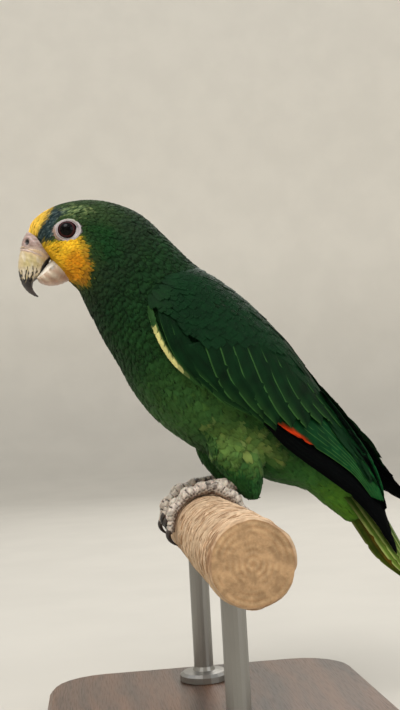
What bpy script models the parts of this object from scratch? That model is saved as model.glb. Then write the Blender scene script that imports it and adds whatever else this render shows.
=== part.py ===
"""Orange-winged amazon parrot, life size, still, gripping a cut perch on a plain display stand.

The bird faces -X with its plane of symmetry at y = 0 (its left side is at -Y), and +Z is up. The
perch lies along Y. The origin is on the floor, under the perch's axis and under the bird. Sizes of
the bird are in millimetres, measured from the perch's axis as (x, z) or (x, y, z), and become metres
as the meshes are made.
"""

import math

import bmesh
import bpy
import numpy as np
from mathutils import Matrix, Vector

MM = 0.001
GAP = 0.3  # clearance between pieces that meet

# Perch and stand
PERCH_RADIUS = 18.6
PERCH_AXIS_HEIGHT = 112.0  # above the floor, so that the tail hangs clear of the base
PERCH_FAR_END = 72.0  # +Y end, beyond the right foot
PERCH_NEAR_END = -180.0
PERCH_SIDES = 24
ROD_RADIUS = 6.0
ROD_PLACES = (40.0, -112.0)  # y of the two rods
ROD_SOCKET = 9.0  # how far a rod goes into the perch
COLLAR_RADIUS = 15.0
COLLAR_HEIGHT = 5.0
BASE_SIZE = (190.0, 226.0, 14.0)
BASE_CENTRE_Y = -36.0
BASE_CORNER = 34.0
BASE_EDGE = 2.5

# Feet
FOOT_Y = 24.0  # each foot's distance from the plane of symmetry
TOE_RADIUS = 3.4
# toe: angle round the perch where it leaves the foot, angle of its end, sideways place at both ends
TOES = {
    "front_outer": (90.0, 180.0, 2.0, 8.0),
    "front_inner": (93.0, 166.0, -2.5, -9.5),
    "rear_outer": (76.0, -12.0, 2.5, 7.5),
    "rear_inner": (73.0, 14.0, -2.5, -8.5),
}
TOE_STEPS = 8
TOE_SIDES = 7
CLAW_ARC = 25.0  # degrees round the perch that a claw spans

# Flesh with its coat: each station is a cut through the bird from its back to its front edge.
# name: back (x, z), front (x, z), half width, how much wider it is towards the front edge
BODY = {
    "face": ((-93.7, 176.8), (-70.6, 146.8), 10.2, -0.06),
    "brow": ((-91.6, 182.8), (-70.2, 145.6), 13.4, -0.08),
    "forehead": ((-84.2, 188.8), (-69.0, 144.8), 16.4, -0.03),
    "eye": ((-72.5, 193.5), (-67.4, 143.6), 18.4, 0.03),
    "crown": ((-57.0, 195.1), (-65.4, 140.8), 20.0, 0.06),
    "hindcrown": ((-41.0, 192.0), (-63.6, 136.0), 21.4, 0.06),
    "nape": ((-26.0, 184.2), (-61.0, 129.6), 22.6, 0.05),
    "hindneck": ((-12.5, 170.5), (-57.2, 121.4), 24.6, 0.06),
    "mantle": ((2.0, 155.0), (-52.2, 110.4), 28.6, 0.08),
    "shoulder": ((20.0, 139.0), (-44.6, 96.4), 33.6, 0.08),
    "breast": ((40.0, 119.0), (-36.0, 79.0), 36.6, 0.06),
    "back": ((56.0, 98.0), (-22.6, 61.6), 36.6, 0.02),
    "belly": ((68.0, 79.0), (-3.0, 46.0), 33.0, 0.00),
    "flank": ((77.0, 62.0), (19.0, 33.4), 27.6, 0.00),
    "vent": ((84.0, 47.0), (42.0, 23.4), 21.0, 0.00),
    "tail_coverts": ((91.0, 33.5), (61.5, 17.4), 15.5, 0.00),
    "tail_root": ((96.5, 19.0), (74.5, 6.8), 12.0, 0.00),
    "undertail": ((101.5, 3.5), (87.0, -4.0), 8.0, 0.00),
}
# The flesh's nodes, each from one station to another
FLESH_NODES = {
    "head": ("face", "nape"),
    "neck": ("nape", "mantle"),
    "breast": ("mantle", "back"),
    "belly": ("back", "vent"),
    "rump": ("vent", "undertail"),
}
BODY_SIDES = 18
BODY_STEPS = 2  # rings from one station to the next
BODY_SQUARENESS = 2.25  # exponent of the section's superellipse

# Bill: outer (culmen or lower edge) and inner points, half width
CERE = {
    "at_feathers": ((-94.2, 176.4), (-81.6, 161.0), 9.4),
    "rim": ((-96.8, 172.4), (-82.0, 160.4), 9.6),
    "at_bill": ((-97.9, 168.0), (-82.4, 159.9), 9.0),
}
UPPER_BILL = {
    "root": ((-98.1, 167.5), (-82.7, 159.5), 8.7),
    "arch": ((-99.9, 161.0), (-84.6, 156.2), 8.4),
    "middle": ((-100.2, 154.4), (-87.4, 152.0), 7.4),
    "notch": ((-99.2, 148.6), (-91.0, 148.8), 5.4),
    "hook": ((-96.8, 143.6), (-92.7, 145.2), 3.3),
    "point": ((-93.4, 140.2), (-91.6, 141.6), 1.7),
    "tip": ((-89.9, 138.4), (-89.5, 139.1), 0.5),
}
LOWER_BILL = {
    "root": ((-69.8, 148.6), (-79.2, 161.2), 8.6),
    "middle": ((-75.6, 145.9), (-84.2, 156.4), 8.4),
    "cup": ((-82.0, 145.0), (-87.2, 152.7), 7.6),
    "lip": ((-86.8, 146.2), (-89.2, 150.4), 6.0),
    "edge": ((-88.9, 147.6), (-90.0, 149.6), 4.4),
}
BILL_SIDES = 12
BILL_SQUARENESS = 2.0

EYE_RADIUS = 5.8
EYE_CENTRE = (-70.0, 14.4, 174.5)

# Wings, for the left side with y outwards: upper edge, lower edge, bulge of the outer and inner faces
WING = {
    "bend": ((-17.0, 23.0, 145.5), (-29.0, 31.5, 131.5), 2.6, 0.4),
    "wrist": ((1.0, 13.0, 150.0), (-25.0, 36.5, 113.0), 7.0, 3.0),
    "shoulder": ((20.5, 7.5, 139.6), (-13.0, 39.0, 92.0), 10.0, 5.0),
    "coverts": ((40.0, 5.5, 122.0), (6.0, 40.0, 72.5), 11.5, 7.0),
    "middle": ((55.5, 4.5, 103.5), (27.0, 38.5, 60.0), 11.0, 7.0),
    "elbow": ((68.5, 4.5, 82.0), (46.0, 35.0, 49.5), 8.6, 5.4),
    "tertials": ((81.0, 6.0, 61.5), (65.0, 30.5, 39.4), 6.2, 3.8),
    "secondaries": ((91.0, 9.5, 43.5), (82.0, 26.0, 27.6), 4.0, 2.4),
    "end": ((99.0, 14.5, 26.0), (95.0, 22.0, 14.0), 2.2, 1.2),
    "tip": ((103.6, 18.0, 9.0), (102.4, 19.4, 6.0), 0.6, 0.3),
}
PRIMARIES = {
    "root": ((14.0, 34.5, 80.0), (9.0, 37.5, 71.0), 1.6, 0.2),
    "hidden": ((42.0, 30.0, 66.0), (27.0, 35.6, 57.0), 2.4, 0.8),
    "shown": ((63.0, 24.5, 52.0), (51.0, 30.6, 38.0), 2.4, 1.0),
    "fold": ((83.0, 19.5, 36.0), (71.0, 26.6, 23.2), 2.2, 1.0),
    "narrow": ((98.0, 16.0, 17.0), (89.0, 22.6, 7.4), 1.8, 0.8),
    "point": ((108.4, 13.5, -3.0), (102.4, 18.6, -10.6), 1.4, 0.6),
    "tip": ((114.0, 12.5, -19.6), (110.8, 14.8, -23.4), 0.8, 0.3),
}
WING_EDGE = 0.8  # half thickness at a wing's edges
WING_POINTS = 6  # points across each face
WING_STEPS = 2
WING_PIVOT = (-10.0, 140.0)  # x, z of the shoulder that the right wing is turned about
WING_REACH = 200.0  # from the shoulder to the tip
RIGHT_WING_LIFT = 9.8  # degrees that the right wing's tip is held above the left one's
RIGHT_WING_SPREAD = 5.0  # how far the right wing's tip is held further from the middle
LIFT_CURVE = 2.2  # how late along the wing the lift comes

# Tail: top of its roof, its side edges as (x, z), half width
TAIL = {
    "root": ((88.0, 34.0), (64.5, 18.0), 12.0),
    "coverts": ((99.0, 17.0), (80.4, 3.4), 15.5),
    "middle": ((109.5, -0.5), (93.0, -13.6), 18.0),
    "blades": ((117.5, -17.0), (103.0, -26.6), 19.0),
    "end": ((125.0, -32.0), (113.0, -35.6), 17.5),
    "tip": ((130.5, -43.5), (121.0, -44.0), 12.0),
}
TAIL_THICKNESS = 5.0
TAIL_EDGE = 1.3
TAIL_POINTS = 8

# Thigh with its feathers, for the left side with y outwards: centre, half length in x, half width in y
THIGH = {
    "hip": ((15.0, 17.5, 54.0), 15.0, 9.0),
    "thigh": ((18.0, 21.0, 40.0), 15.0, 11.5),
    "knee": ((22.0, 22.6, 29.0), 11.6, 10.4),
    "shin": ((24.4, 23.2, 21.5), 7.6, 8.2),
    "hem": ((25.8, 23.4, 17.0), 4.6, 5.6),
    "fringe": ((26.4, 23.4, 14.8), 2.2, 3.2),
}
THIGH_SHIFT = {"left": 0.0, "right": -1.5}  # the right leg stands a little further forward
THIGH_SIDES = 12

GREEN = ((0.035, 0.110, 0.040), 0.6)
MATERIALS = {
    "plumage": GREEN,
    "wing_green": ((0.020, 0.085, 0.030), 0.5),
    "flight_black": ((0.010, 0.018, 0.022), 0.45),
    "tail_green": ((0.080, 0.190, 0.040), 0.5),
    "horn": ((0.62, 0.52, 0.36), 0.35),
    "cere": ((0.55, 0.46, 0.43), 0.5),
    "eye": ((0.020, 0.010, 0.010), 0.08),
    "scaly_skin": ((0.34, 0.29, 0.24), 0.7),
    "claw": ((0.030, 0.026, 0.024), 0.35),
    "perch_wood": ((0.56, 0.39, 0.24), 0.85),
    "stand_wood": ((0.18, 0.10, 0.055), 0.4),
    "stand_metal": ((0.30, 0.29, 0.27), 0.35),
}


def clear_scene():
    for obj in list(bpy.data.objects):
        bpy.data.objects.remove(obj, do_unlink=True)


def new_collection(name, hidden=False):
    collection = bpy.data.collections.new(name)
    collection.hide_render = hidden
    bpy.context.scene.collection.children.link(collection)
    return collection


def material(name):
    """The named finish, made once."""
    if name in bpy.data.materials:
        return bpy.data.materials[name]
    colour, roughness = MATERIALS[name]
    made = bpy.data.materials.new(name)
    made.use_nodes = True
    shader = made.node_tree.nodes["Principled BSDF"]
    shader.inputs["Base Color"].default_value = (*colour, 1.0)
    shader.inputs["Roughness"].default_value = roughness
    shader.inputs["Metallic"].default_value = 1.0 if name == "stand_metal" else 0.0
    return made


def place(point):
    """A point measured from the perch's axis, in millimetres, as metres above the floor."""
    x, y, z = point
    return Vector((x, y, z + PERCH_AXIS_HEIGHT)) * MM


def smooth_rows(rows, steps):
    """Rows of numbers joined by a Catmull-Rom curve, with this many steps between two rows."""
    rows = np.array(rows, float)
    ends = np.vstack([2 * rows[0] - rows[1], rows, 2 * rows[-1] - rows[-2]])
    found = []
    for i in range(1, len(ends) - 2):
        before, start, end, after = ends[i - 1 : i + 3]
        for t in np.arange(steps) / steps:
            found.append(
                0.5
                * (
                    2 * start
                    + (end - before) * t
                    + (2 * before - 5 * start + 4 * end - after) * t**2
                    + (3 * start - before - 3 * end + after) * t**3
                )
            )
    found.append(rows[-1])
    return np.array(found)


def mesh_object(name, mesh, finish, collection):
    obj = bpy.data.objects.new(name, mesh)
    mesh.materials.append(material(finish))
    mesh.shade_smooth()
    mesh.set_sharp_from_angle(angle=math.radians(50))
    collection.objects.link(obj)
    return obj


def loft(name, rings, finish, collection):
    """A closed skin through rings of points, each with as many points, capped at both ends."""
    shape = bmesh.new()
    loops = [[shape.verts.new(place(p)) for p in ring] for ring in rings]
    count = len(loops[0])
    for low, high in zip(loops, loops[1:]):
        for i in range(count):
            j = (i + 1) % count
            shape.faces.new((low[i], low[j], high[j], high[i]))
    shape.faces.new(loops[0])
    shape.faces.new(list(reversed(loops[-1])))
    bmesh.ops.recalc_face_normals(shape, faces=shape.faces)
    mesh = bpy.data.meshes.new(name)
    shape.to_mesh(mesh)
    shape.free()
    return mesh_object(name, mesh, finish, collection)


def section(back, front, half_width, widening, sides, squareness):
    """One closed cut from back to front edge, both (x, z), as a superellipse."""
    back, front = np.array(back), np.array(front)
    centre, reach = (back + front) / 2, (back - front) / 2
    ring = []
    for i in range(sides):
        angle = 2 * math.pi * i / sides
        along, across = math.cos(angle), math.sin(angle)
        along = math.copysign(abs(along) ** (2 / squareness), along)
        across = math.copysign(abs(across) ** (2 / squareness), across)
        x, z = centre + reach * along
        y = half_width * across * (1 - widening * along)
        ring.append((x, y, z))
    return ring


def stations_to_rows(stations):
    """Named stations as flat rows of numbers."""
    return [np.hstack([np.ravel(part) for part in station]) for station in stations.values()]


def grown(obj, amount, helpers):
    """A cutter: the object's shape with its skin moved out by this many millimetres."""
    mesh = obj.data.copy()
    shape = bmesh.new()
    shape.from_mesh(mesh)
    shape.normal_update()
    for vertex in shape.verts:
        vertex.co += vertex.normal * amount * MM
    shape.to_mesh(mesh)
    shape.free()
    cutter = bpy.data.objects.new(obj.name + "_cutter", mesh)
    cutter.hide_render = True
    cutter.display_type = "WIRE"
    helpers.objects.link(cutter)
    return cutter


def combine(obj, other, operation):
    modifier = obj.modifiers.new(operation.lower() + "_" + other.name, "BOOLEAN")
    modifier.operation = operation
    modifier.solver = "EXACT"
    modifier.object = other


def make_flesh(model):
    """Head, neck, breast, belly and rump: one smooth body, parted at named stations."""
    names = list(BODY)
    rows = smooth_rows(stations_to_rows(BODY), BODY_STEPS)
    made = {}
    for node, (first, last) in FLESH_NODES.items():
        start, end = names.index(first) * BODY_STEPS, names.index(last) * BODY_STEPS
        rings = [
            section(row[0:2], row[2:4], row[4], row[5], BODY_SIDES, BODY_SQUARENESS)
            for row in rows[start : end + 1]
        ]
        for ring, beside in ((0, 1), (-1, -2)):
            rings[ring] = drawn_in(rings[ring], rings[beside])
        made[node] = loft(node, rings, "plumage", model)
    return made


def drawn_in(ring, beside):
    """An end ring moved half a gap along its plane's normal, towards the ring beside it."""
    ring, beside = np.array(ring), np.array(beside)
    reach = ring[0] - ring[len(ring) // 2]
    normal = np.array([reach[2], 0.0, -reach[0]]) / np.linalg.norm(reach)
    if (beside.mean(0) - ring.mean(0)) @ normal < 0:
        normal = -normal
    return [tuple(point) for point in ring + normal * GAP / 2]


def make_bill_piece(name, stations, finish, model):
    rows = smooth_rows(stations_to_rows(stations), 2)
    rings = [
        section(row[0:2], row[2:4], row[4], 0.0, BILL_SIDES, BILL_SQUARENESS) for row in rows
    ]
    return loft(name, rings, finish, model)


def make_eye(side, model):
    x, y, z = EYE_CENTRE
    shape = bmesh.new()
    bmesh.ops.create_uvsphere(shape, u_segments=14, v_segments=8, radius=EYE_RADIUS * MM)
    turn = Matrix.Rotation(math.pi / 2, 4, "X")
    move = Matrix.Translation(place((x, side * y, z)))
    bmesh.ops.transform(shape, matrix=move @ turn, verts=shape.verts)
    name = "eye_left" if side < 0 else "eye_right"
    mesh = bpy.data.meshes.new(name)
    shape.to_mesh(mesh)
    shape.free()
    return mesh_object(name, mesh, "eye", model)


def wing_ring(row, axis, side):
    """A cut across a folded wing: a curved plate between its upper and lower edge."""
    upper, lower = np.array(row[0:3]), np.array(row[3:6])
    outer_bulge, inner_bulge = row[6], row[7]
    outwards = np.cross(axis, upper - lower)
    outwards /= np.linalg.norm(outwards)
    if outwards[1] < 0:
        outwards = -outwards
    ring = []
    for face, bulge in ((1, outer_bulge), (-1, inner_bulge)):
        for i in range(WING_POINTS):
            t = i / (WING_POINTS - 1)
            t = t if face > 0 else 1 - t
            arch = (4 * t * (1 - t)) ** 0.75
            point = lower + (upper - lower) * t + outwards * (bulge * arch + face * WING_EDGE)
            ring.append(lifted(point) if side > 0 else point * (1, -1, 1))
    return ring


def lifted(point):
    """A point of a folded wing, raised and spread the more the nearer it is to the tip."""
    x, y, z = point
    dx, dz = x - WING_PIVOT[0], z - WING_PIVOT[1]
    reach = math.hypot(dx, dz) / WING_REACH
    angle = math.radians(RIGHT_WING_LIFT) * reach**LIFT_CURVE
    x = WING_PIVOT[0] + dx * math.cos(angle) - dz * math.sin(angle)
    z = WING_PIVOT[1] + dx * math.sin(angle) + dz * math.cos(angle)
    return (x, y + RIGHT_WING_SPREAD * reach**2, z)


def make_blade(name, stations, side, finish, model):
    """A wing or its primaries, lofted from the shoulder to the tip."""
    rows = smooth_rows(stations_to_rows(stations), WING_STEPS)
    middles = (rows[:, 0:3] + rows[:, 3:6]) / 2
    axes = np.gradient(middles, axis=0)
    rings = [wing_ring(row, axis, side) for row, axis in zip(rows, axes)]
    return loft(name, rings, finish, model)


def make_tail(model):
    """The tail feathers together, as a roof: high in the middle and drooping to its side edges."""
    rings = []
    for row in smooth_rows(stations_to_rows(TAIL), 2):
        top, edge, half_width = row[0:2], row[2:4], row[4]
        roof, underside = [], []
        for i in range(TAIL_POINTS):
            across = -1 + 2 * i / (TAIL_POINTS - 1)
            drop = abs(across) ** 1.7
            spread = math.sin(across * math.pi / 2)
            ridge = top + (edge - top) / np.linalg.norm(edge - top) * TAIL_THICKNESS
            for points, high, reach in (
                (roof, top, half_width),
                (underside, ridge, half_width - TAIL_EDGE),
            ):
                x, z = high + (edge - high) * drop
                points.append((x, reach * spread, z))
        rings.append(roof + underside[::-1])
    return loft("tail", rings, "tail_green", model)


def make_thigh(side_name, side, model):
    rings = []
    for row in smooth_rows(stations_to_rows(THIGH), 2):
        centre_x = row[0] + THIGH_SHIFT[side_name]
        ring = []
        for i in range(THIGH_SIDES):
            angle = 2 * math.pi * i / THIGH_SIDES
            ring.append(
                (
                    centre_x + row[3] * math.cos(angle),
                    side * row[1] + row[4] * math.sin(angle),
                    row[2],
                )
            )
        rings.append(ring)
    return loft("thigh_" + side_name, rings, "plumage", model)


def tube(name, points, radii, sides, finish, collection):
    """A round tube through points, with a radius at each, its rings square to its path."""
    points = np.array(points, float)
    along = np.gradient(points, axis=0)
    rings = []
    for point, axis, radius in zip(points, along, radii):
        axis = axis / np.linalg.norm(axis)
        across = np.array([0.0, 1.0, 0.0]) - axis * axis[1]
        across /= np.linalg.norm(across)
        third = np.cross(axis, across)
        ring = []
        for i in range(sides):
            angle = 2 * math.pi * i / sides
            ring.append(point + radius * (across * math.cos(angle) + third * math.sin(angle)))
        rings.append(ring)
    return loft(name, rings, finish, collection)


def toe_path(toe, foot_y, side, steps):
    """Points on a toe's middle line, round the perch, and its radius at each."""
    start, end, y_start, y_end = TOES[toe]
    points, radii = [], []
    for i in range(steps + 1):
        t = i / steps
        angle = math.radians(start + (end - start) * t)
        pad = 0.45 * math.cos(2 * math.pi * t * 3)  # joints with pads between them
        radius = TOE_RADIUS * (1.0 - 0.26 * t) + pad
        if i == steps:
            radius *= 0.72
        reach = PERCH_RADIUS + GAP + radius + 0.2
        y = foot_y + side * (y_start + (y_end - y_start) * t)
        points.append((reach * math.cos(angle), y, reach * math.sin(angle)))
        radii.append(radius)
    return points, radii


def make_foot(side_name, side, model, helpers):
    """The short leg below the feathers with its four toes, as one piece."""
    foot_y = side * FOOT_Y
    shift = THIGH_SHIFT[side_name]
    leg_points = [
        (24.6 + shift, foot_y, 22.0),
        (18.0 + shift / 2, foot_y, 24.0),
        (10.0, foot_y, 23.6),
        (2.0, foot_y, 22.8),
        (-5.0, foot_y, 22.2),
    ]
    leg_radii = [3.4, 3.7, 4.0, 3.9, 2.8]
    rows = smooth_rows([(*p, r) for p, r in zip(leg_points, leg_radii)], 2)
    foot = tube("foot_" + side_name, rows[:, :3], rows[:, 3], 10, "scaly_skin", model)
    toes = []
    for toe in TOES:
        points, radii = toe_path(toe, foot_y, side, TOE_STEPS)
        piece = tube(f"{toe}_{side_name}_joined", points, radii, TOE_SIDES, "scaly_skin", helpers)
        piece.hide_render = True
        piece.display_type = "WIRE"
        combine(foot, piece, "UNION")
        toes.append(piece)
    return foot, toes


def make_claw(toe, side_name, side, model):
    """A hooked claw on the end of a toe, its point just clear of the perch."""
    start, end, _, y_end = TOES[toe]
    turn = math.copysign(1.0, end - start)
    steps = 4
    points, radii = [], []
    for i in range(steps + 1):
        t = i / steps
        angle = math.radians(end + turn * (CLAW_ARC * t - 2.0))
        radius = 1.5 * (1 - t) ** 0.8 + 0.35
        lift = 1.9 * math.sin(math.pi * t**0.8)
        reach = PERCH_RADIUS + GAP + 2.6 * (1 - t) + lift + 0.55
        y = side * (FOOT_Y + y_end + 0.5 * math.copysign(t, y_end))
        points.append((reach * math.cos(angle), y, reach * math.sin(angle)))
        radii.append(radius)
    return tube(f"claw_{toe}_{side_name}", points, radii, 6, "claw", model)


def make_perch(model):
    """A cut length of branch with a slightly uneven girth, lying along Y."""
    rings = []
    length = PERCH_FAR_END - PERCH_NEAR_END
    steps = 5
    for i in range(steps + 1):
        y = PERCH_NEAR_END + length * i / steps
        ring = []
        for j in range(PERCH_SIDES):
            angle = 2 * math.pi * j / PERCH_SIDES
            under = max(0.0, -math.sin(angle))
            swell = 0.35 * under * math.sin(y / 19.0) + 0.25 * under * math.sin(3 * angle + y / 31.0)
            radius = PERCH_RADIUS + swell
            ring.append((radius * math.cos(angle), y, radius * math.sin(angle)))
        rings.append(ring)
    return loft("perch", rings, "perch_wood", model)


def make_rod(name, y, model):
    """A turned metal rod with a collar that stands on the base and a top that enters the perch."""
    bottom = BASE_SIZE[2] + GAP
    top = PERCH_AXIS_HEIGHT - PERCH_RADIUS + ROD_SOCKET
    outline = [
        (0.0, top),
        (ROD_RADIUS - 0.8, top),
        (ROD_RADIUS, top - 0.8),
        (ROD_RADIUS, bottom + COLLAR_HEIGHT + 3.0),
        (ROD_RADIUS + 1.0, bottom + COLLAR_HEIGHT + 0.8),
        (COLLAR_RADIUS - 2.0, bottom + COLLAR_HEIGHT),
        (COLLAR_RADIUS, bottom + COLLAR_HEIGHT - 1.6),
        (COLLAR_RADIUS, bottom),
        (0.0, bottom),
    ]
    mesh = bpy.data.meshes.new(name)
    points = [(radius * MM, 0.0, z * MM) for radius, z in outline]
    mesh.from_pydata(points, [(i, i + 1) for i in range(len(points) - 1)], [])
    rod = mesh_object(name, mesh, "stand_metal", model)
    rod.location = (0.0, y * MM, 0.0)
    screw = rod.modifiers.new("turn", "SCREW")
    screw.steps = screw.render_steps = 18
    screw.use_merge_vertices = True
    screw.merge_threshold = 0.00001
    return rod


def make_rod_cutter(y, helpers):
    """What a rod takes out of the perch, with the gap round it."""
    shape = bmesh.new()
    bmesh.ops.create_cone(
        shape,
        cap_ends=True,
        segments=24,
        radius1=(ROD_RADIUS + GAP) * MM,
        radius2=(ROD_RADIUS + GAP) * MM,
        depth=2 * (ROD_SOCKET + GAP) * MM,
    )
    mesh = bpy.data.meshes.new("rod_cutter")
    shape.to_mesh(mesh)
    shape.free()
    cutter = bpy.data.objects.new("rod_cutter", mesh)
    cutter.location = place((0.0, y, -PERCH_RADIUS))
    cutter.hide_render = True
    cutter.display_type = "WIRE"
    helpers.objects.link(cutter)
    return cutter


def make_base(model):
    """A flat wooden plinth with rounded corners and edges."""
    width, length, height = BASE_SIZE
    bpy.ops.mesh.primitive_cube_add(size=1.0, location=(0, BASE_CENTRE_Y * MM, height / 2 * MM))
    base = bpy.context.active_object
    base.name = "stand_base"
    base.scale = (width * MM, length * MM, height * MM)
    bpy.ops.object.transform_apply(location=False, rotation=False, scale=True)
    for collection in list(base.users_collection):
        collection.objects.unlink(base)
    model.objects.link(base)
    base.data.materials.append(material("stand_wood"))
    corners = base.modifiers.new("corners", "BEVEL")
    corners.width = BASE_CORNER * MM
    corners.segments = 6
    corners.limit_method = "VGROUP"
    uprights = base.vertex_groups.new(name="uprights")
    uprights.add(list(range(8)), 1.0, "REPLACE")
    corners.limit_method = "WEIGHT"
    weights = base.data.attributes.new("bevel_weight_edge", "FLOAT", "EDGE")
    for edge in base.data.edges:
        first, last = (base.data.vertices[i].co for i in edge.vertices)
        weights.data[edge.index].value = 1.0 if abs(first.z - last.z) > height / 2 * MM else 0.0
    edges = base.modifiers.new("edges", "BEVEL")
    edges.width = BASE_EDGE * MM
    edges.segments = 1
    edges.limit_method = "ANGLE"
    edges.angle_limit = math.radians(60)
    return base


def cut_apart(pieces, cutters):
    """Takes from each piece what the listed neighbours fill, with a gap."""
    for name, neighbours in cutters.items():
        for neighbour in neighbours:
            combine(pieces[name], pieces["around_" + neighbour], "DIFFERENCE")


def main():
    clear_scene()
    model = new_collection("amazon_parrot")
    helpers = new_collection("cutters", hidden=True)

    clearance = GAP * 1.3

    pieces = make_flesh(model)
    pieces["cere"] = make_bill_piece("cere", CERE, "cere", model)
    pieces["bill_upper"] = make_bill_piece("bill_upper", UPPER_BILL, "horn", model)
    pieces["bill_lower"] = make_bill_piece("bill_lower", LOWER_BILL, "horn", model)
    pieces["tail"] = make_tail(model)
    for side_name, side in (("left", -1), ("right", 1)):
        pieces["eye_" + side_name] = make_eye(side, model)
        for blade, stations, finish in (
            ("wing_", WING, "wing_green"),
            ("primaries_", PRIMARIES, "flight_black"),
        ):
            pieces[blade + side_name] = make_blade(blade + side_name, stations, side, finish, model)
        pieces["thigh_" + side_name] = make_thigh(side_name, side, model)
        foot, toes = make_foot(side_name, side, model, helpers)
        for leg_part in [foot, *toes]:
            combine(pieces["thigh_" + side_name], grown(leg_part, clearance, helpers), "DIFFERENCE")
        for toe, toe_piece in zip(TOES, toes):
            claw = make_claw(toe, side_name, side, model)
            combine(claw, grown(toe_piece, clearance, helpers), "DIFFERENCE")
    pieces["perch"] = make_perch(model)
    for number, y in enumerate(ROD_PLACES, 1):
        make_rod(f"stand_rod_{number}", y, model)
        combine(pieces["perch"], make_rod_cutter(y, helpers), "DIFFERENCE")
    make_base(model)

    for name in list(pieces):
        if not name.startswith(("perch", "thigh")):
            pieces["around_" + name] = grown(pieces[name], clearance, helpers)
    blades = ["wing_left", "wing_right", "primaries_left", "primaries_right"]
    cutters = {
        "head": ["eye_left", "eye_right", "cere", "bill_upper", "bill_lower"],
        "neck": ["wing_left", "wing_right"],
        "breast": blades,
        "belly": blades,
        "rump": blades + ["tail"],
        "bill_upper": ["cere"],
        "bill_lower": ["cere", "bill_upper"],
        "tail": blades,
        "primaries_left": ["wing_left"],
        "primaries_right": ["wing_right"],
        "thigh_left": ["breast", "belly", "rump"] + blades,
        "thigh_right": ["breast", "belly", "rump"] + blades,
    }
    cut_apart(pieces, cutters)


main()
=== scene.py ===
"""Looks of a still, life-size orange-winged Amazon on a cut length of branch and a plain stand.

Tables are in millimetres from the perch's middle line: x from bill to tail, y across, z up.
"""

import math
from collections import namedtuple

import bpy
import numpy as np
from mathutils import Matrix, Vector
from mathutils.bvhtree import BVHTree
from mathutils.kdtree import KDTree


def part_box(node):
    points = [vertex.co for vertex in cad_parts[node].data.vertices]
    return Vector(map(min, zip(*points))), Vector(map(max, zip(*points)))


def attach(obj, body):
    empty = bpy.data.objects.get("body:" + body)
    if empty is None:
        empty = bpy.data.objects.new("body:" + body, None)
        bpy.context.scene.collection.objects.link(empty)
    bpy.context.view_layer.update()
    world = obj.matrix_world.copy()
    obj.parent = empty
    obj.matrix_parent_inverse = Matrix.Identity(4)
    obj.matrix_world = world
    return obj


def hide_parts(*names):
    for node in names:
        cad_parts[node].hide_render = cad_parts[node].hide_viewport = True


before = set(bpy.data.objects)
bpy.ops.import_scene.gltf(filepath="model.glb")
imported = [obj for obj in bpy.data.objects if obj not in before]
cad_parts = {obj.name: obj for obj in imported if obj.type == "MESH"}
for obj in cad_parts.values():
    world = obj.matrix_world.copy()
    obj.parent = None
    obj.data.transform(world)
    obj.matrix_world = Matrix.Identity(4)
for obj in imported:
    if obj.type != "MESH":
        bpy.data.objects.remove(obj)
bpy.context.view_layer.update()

MM = 0.001
# How far a feather's shading leans from its own faces to the surface that it lies on
LEAN_SHARE = 0.6
PERCH_LOW, PERCH_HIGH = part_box("perch")
PERCH_RADIUS = 18.6
PERCH_AXIS = PERCH_HIGH.z / MM - PERCH_RADIUS
PERCH_ENDS = (PERCH_LOW.y / MM, PERCH_HIGH.y / MM)

# ---------------------------------------------------------------- shapes, shared with the solids
# Back edge (x, z), front edge (x, z), half width, widening towards the front
BODY = {
    "face": (-93.7, 176.8, -70.6, 146.8, 10.2, -0.06),
    "brow": (-91.6, 182.8, -70.2, 145.6, 13.4, -0.08),
    "forehead": (-84.2, 188.8, -69.0, 144.8, 16.4, -0.03),
    "eye": (-72.5, 193.5, -67.4, 143.6, 18.4, 0.03),
    "crown": (-57.0, 195.1, -65.4, 140.8, 20.0, 0.06),
    "hindcrown": (-41.0, 192.0, -63.6, 136.0, 21.4, 0.06),
    "nape": (-26.0, 184.2, -61.0, 129.6, 22.6, 0.05),
    "hindneck": (-12.5, 170.5, -57.2, 121.4, 24.6, 0.06),
    "mantle": (2.0, 155.0, -52.2, 110.4, 28.6, 0.08),
    "shoulder": (20.0, 139.0, -44.6, 96.4, 33.6, 0.08),
    "breast": (40.0, 119.0, -36.0, 79.0, 36.6, 0.06),
    "back": (56.0, 98.0, -22.6, 61.6, 36.6, 0.02),
    "belly": (68.0, 79.0, -3.0, 46.0, 33.0, 0.0),
    "flank": (77.0, 62.0, 19.0, 33.4, 27.6, 0.0),
    "vent": (84.0, 47.0, 42.0, 23.4, 21.0, 0.0),
    "tail_coverts": (91.0, 33.5, 61.5, 17.4, 15.5, 0.0),
    "tail_root": (96.5, 19.0, 74.5, 6.8, 12.0, 0.0),
    "undertail": (101.5, 3.5, 87.0, -4.0, 8.0, 0.0),
}
BODY_SQUARENESS = 2.25
CERE = {
    "top": (-94.2, 176.4, -81.6, 161.0, 9.4, 0.0),
    "middle": (-96.8, 172.4, -82.0, 160.4, 9.6, 0.0),
    "front": (-97.9, 168.0, -82.4, 159.9, 9.0, 0.0),
}
UPPER_BILL = {
    "root": (-98.1, 167.5, -82.7, 159.5, 8.7, 0.0),
    "arch": (-99.9, 161.0, -84.6, 156.2, 8.4, 0.0),
    "middle": (-100.2, 154.4, -87.4, 152.0, 7.4, 0.0),
    "notch": (-99.2, 148.6, -91.0, 148.8, 5.4, 0.0),
    "hook": (-96.8, 143.6, -92.7, 145.2, 3.3, 0.0),
    "point": (-93.4, 140.2, -91.6, 141.6, 1.7, 0.0),
    "tip": (-89.9, 138.4, -89.5, 139.1, 0.5, 0.0),
}
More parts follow.
